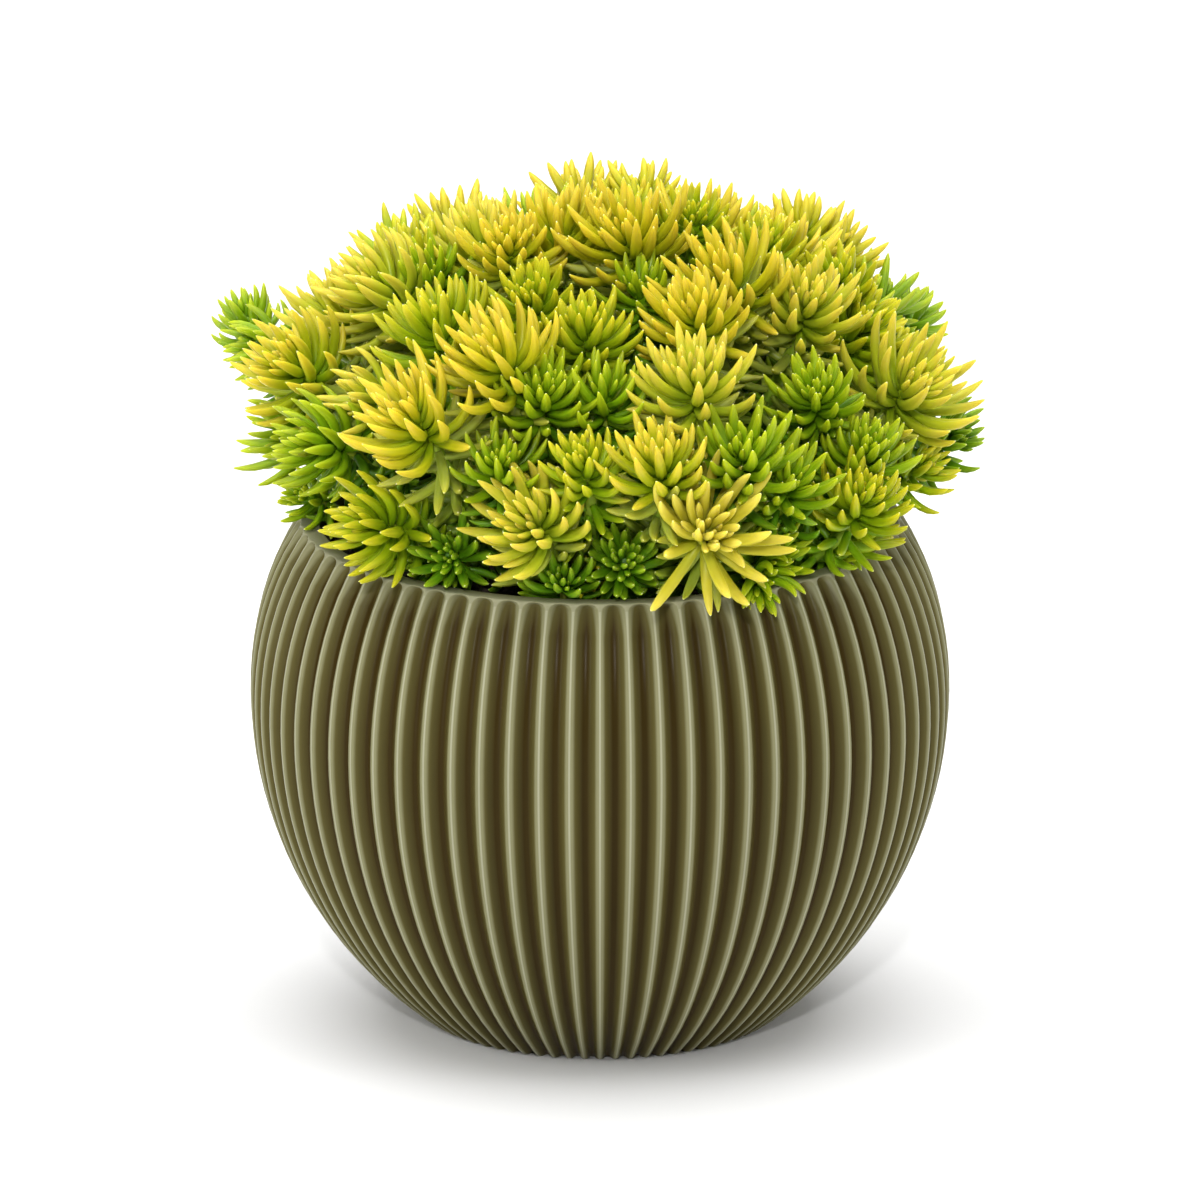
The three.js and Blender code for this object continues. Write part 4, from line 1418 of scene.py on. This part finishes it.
class StonecropSettings(bpy.types.PropertyGroup):
    """Sizes and colours of the potted stonecrop."""

    flute_depth: FloatProperty(
        name="Flute Depth", description="Depth of the pot's flutes", default=1.9 * MM, unit="LENGTH")
    # The line colour is a painted highlight along each crest.
    highlight_line_colour: FloatVectorProperty(
        name="Line Colour", description="Colour of the worn line on the pot's crests",
        default=linear("#98977e"), subtype="COLOR")
    # The crest colour is a painted sheen over the crests.
    crest_sheen_colour: FloatVectorProperty(
        name="Crest Colour", description="Colour of the pot's crests",
        default=linear("#7c7a5a"), subtype="COLOR")
    flank_colour: FloatVectorProperty(
        name="Flank Colour", description="Colour of the flutes' sides",
        default=linear("#554f2b"), subtype="COLOR")
    # The flute colour is painted shade deep in the flutes.
    flute_shade_colour: FloatVectorProperty(
        name="Flute Colour", description="Colour deep in the flutes",
        default=linear("#31260a"), subtype="COLOR")
    large_leaves: IntProperty(
        name="Leaves of a Large Rosette", description="Leaves that a large rosette has", default=34, min=8)
    small_leaves: IntProperty(
        name="Leaves of a Small Rosette", description="Leaves that a small rosette has", default=20, min=6)
    leaf_width: FloatProperty(
        name="Leaf Width", description="Width of the broadest leaves", default=2.7 * MM, unit="LENGTH")
    leaf_sides: IntProperty(name="Leaf Sides", description="Sides round a leaf", default=6, min=3)
    leaf_rings: IntProperty(name="Leaf Rings", description="Rings along a leaf", default=9, min=4)
    crumb_size: FloatProperty(
        name="Crumb Size", description="Radius of a soil crumb", default=0.9 * MM, unit="LENGTH")
    seed: IntProperty(name="Seed", description="Seed of every random draw", default=5)


def seat_piece(piece, slot, *nodes):
    """Makes a piece ride on the pot's body in place of its CAD nodes."""
    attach(piece, "root")
    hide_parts(*nodes)


def node_slot(name):
    for part in frame["record"]["subparts"]:
        if part["node"] == name:
            return part["material_slot"]
    raise RuntimeError(f"the record has no sub-part {name}")


class STONECROP_OT_add_pot(bpy.types.Operator):
    """Add the fluted globe pot"""

    bl_idname = "stonecrop.add_pot"
    bl_label = "Fluted Pot"

    def execute(self, context):
        settings = context.scene.stonecrop
        values = {"Material": pot_material(settings)}
        pot = grown("fluted_pot", flute_strip(settings), flute_tree(), values)
        seat_piece(pot, "pot", "pot")
        return {"FINISHED"}


class STONECROP_OT_add_soil(bpy.types.Operator):
    """Add the potting soil"""

    bl_idname = "stonecrop.add_soil"
    bl_label = "Potting Soil"

    def execute(self, context):
        values = {"Crumb Size": context.scene.stonecrop.crumb_size, "Material": soil_material()}
        soil = grown("potting_soil", soil_body(), soil_tree(), values)
        seat_piece(soil, "soil", "soil")
        return {"FINISHED"}


class STONECROP_OT_add_leafy_stems(bpy.types.Operator):
    """Add every leafy stem with its rosettes"""

    bl_idname = "stonecrop.add_leafy_stems"
    bl_label = "Leafy Stems"

    def execute(self, context):
        settings = context.scene.stonecrop
        rosettes = placed_rosettes()
        plans = plan_leaves(rosettes, settings)
        members = members_by_node(rosettes)
        tree, material = leaf_tree(), leaf_material()
        for node in sorted(members):
            piece = grow_stem(f"leafy_{node}", members[node], plans, settings, tree, material)
            seat_piece(piece, node_slot(node), node)
        bare = [name for name in frame["nodes"] if name.startswith("stem_") and name not in members]
        if bare:
            raise RuntimeError(f"no rosette was grown for {bare}")
        return {"FINISHED"}


def hang_light(name, kind, place, target, power):
    """Hangs a light that points at a target, and returns its data."""
    data = bpy.data.lights.new(name, kind)
    data.energy = power
    light = bpy.data.objects.new(name, data)
    bpy.context.scene.collection.objects.link(light)
    light.location = place
    light.rotation_euler = (Vector(target) - Vector(place)).to_track_quat("-Z", "Y").to_euler()
    return data


class STONECROP_OT_add_stage(bpy.types.Operator):
    """Add the studio floor, the lights and the camera"""

    bl_idname = "stonecrop.add_stage"
    bl_label = "Studio"

    def execute(self, context):
        scene = context.scene
        scene.view_settings.view_transform = "Standard"
        bpy.ops.mesh.primitive_circle_add(vertices=96, radius=FLOOR_RADIUS, fill_type="TRIFAN")
        floor = context.active_object
        floor.name = "studio_floor"
        material, _, shader = new_material("white_floor")
        shader.inputs["Base Color"].default_value = (0.9, 0.9, 0.9, 1)
        shader.inputs["Roughness"].default_value = 0.6
        floor.data.materials.append(material)
        scene.world = bpy.data.worlds.new("studio_air")
        scene.world.use_nodes = True
        air = scene.world.node_tree.nodes["Background"]
        air.inputs["Color"].default_value = (1, 1, 1, 1)
        air.inputs["Strength"].default_value = AIR_LIGHT
        for name, place, target, size, power in SOFTBOXES:
            softbox = hang_light(name, "AREA", place, target, power)
            softbox.shape = "RECTANGLE"
            softbox.size, softbox.size_y = size
        fill = hang_light("front_fill", "SPOT", FILL_PLACE, FILL_TARGET, FILL_POWER)
        fill.spot_size = FILL_CONE
        fill.spot_blend = 1
        fill.shadow_soft_size = FILL_SOFTNESS
        camera = bpy.data.objects.new("camera", bpy.data.cameras.new("camera"))
        scene.collection.objects.link(camera)
        scene.camera = camera
        camera.location = CAMERA_TARGET + VIEWER * CAMERA_DISTANCE
        camera.rotation_euler = (-VIEWER).to_track_quat("-Z", "Y").to_euler()
        camera.data.sensor_width = CAMERA_SENSOR
        camera.data.lens = CAMERA_LENS
        camera.data.clip_end = CAMERA_REACH
        return {"FINISHED"}


class STONECROP_PT_panel(bpy.types.Panel):
    """The potted stonecrop's operators and settings"""

    bl_idname = "STONECROP_PT_panel"
    bl_label = "Potted Stonecrop"
    bl_space_type = "VIEW_3D"
    bl_region_type = "UI"
    bl_category = "Stonecrop"

    def draw(self, context):
        layout = self.layout
        for operator in OPERATORS:
            layout.operator(operator.bl_idname)
        for name in StonecropSettings.__annotations__:
            layout.prop(context.scene.stonecrop, name)


OPERATORS = (
    STONECROP_OT_add_stage,
    STONECROP_OT_add_pot,
    STONECROP_OT_add_soil,
    STONECROP_OT_add_leafy_stems,
)
CLASSES = (StonecropSettings, *OPERATORS, STONECROP_PT_panel)


def register():
    for made in CLASSES:
        bpy.utils.register_class(made)
    bpy.types.Scene.stonecrop = PointerProperty(type=StonecropSettings)


def unregister():
    del bpy.types.Scene.stonecrop
    for made in reversed(CLASSES):
        bpy.utils.unregister_class(made)


def main():
    register()
    bpy.ops.stonecrop.add_stage()
    bpy.ops.stonecrop.add_pot()
    bpy.ops.stonecrop.add_soil()
    bpy.ops.stonecrop.add_leafy_stems()


if __name__ == "__main__":
    main()
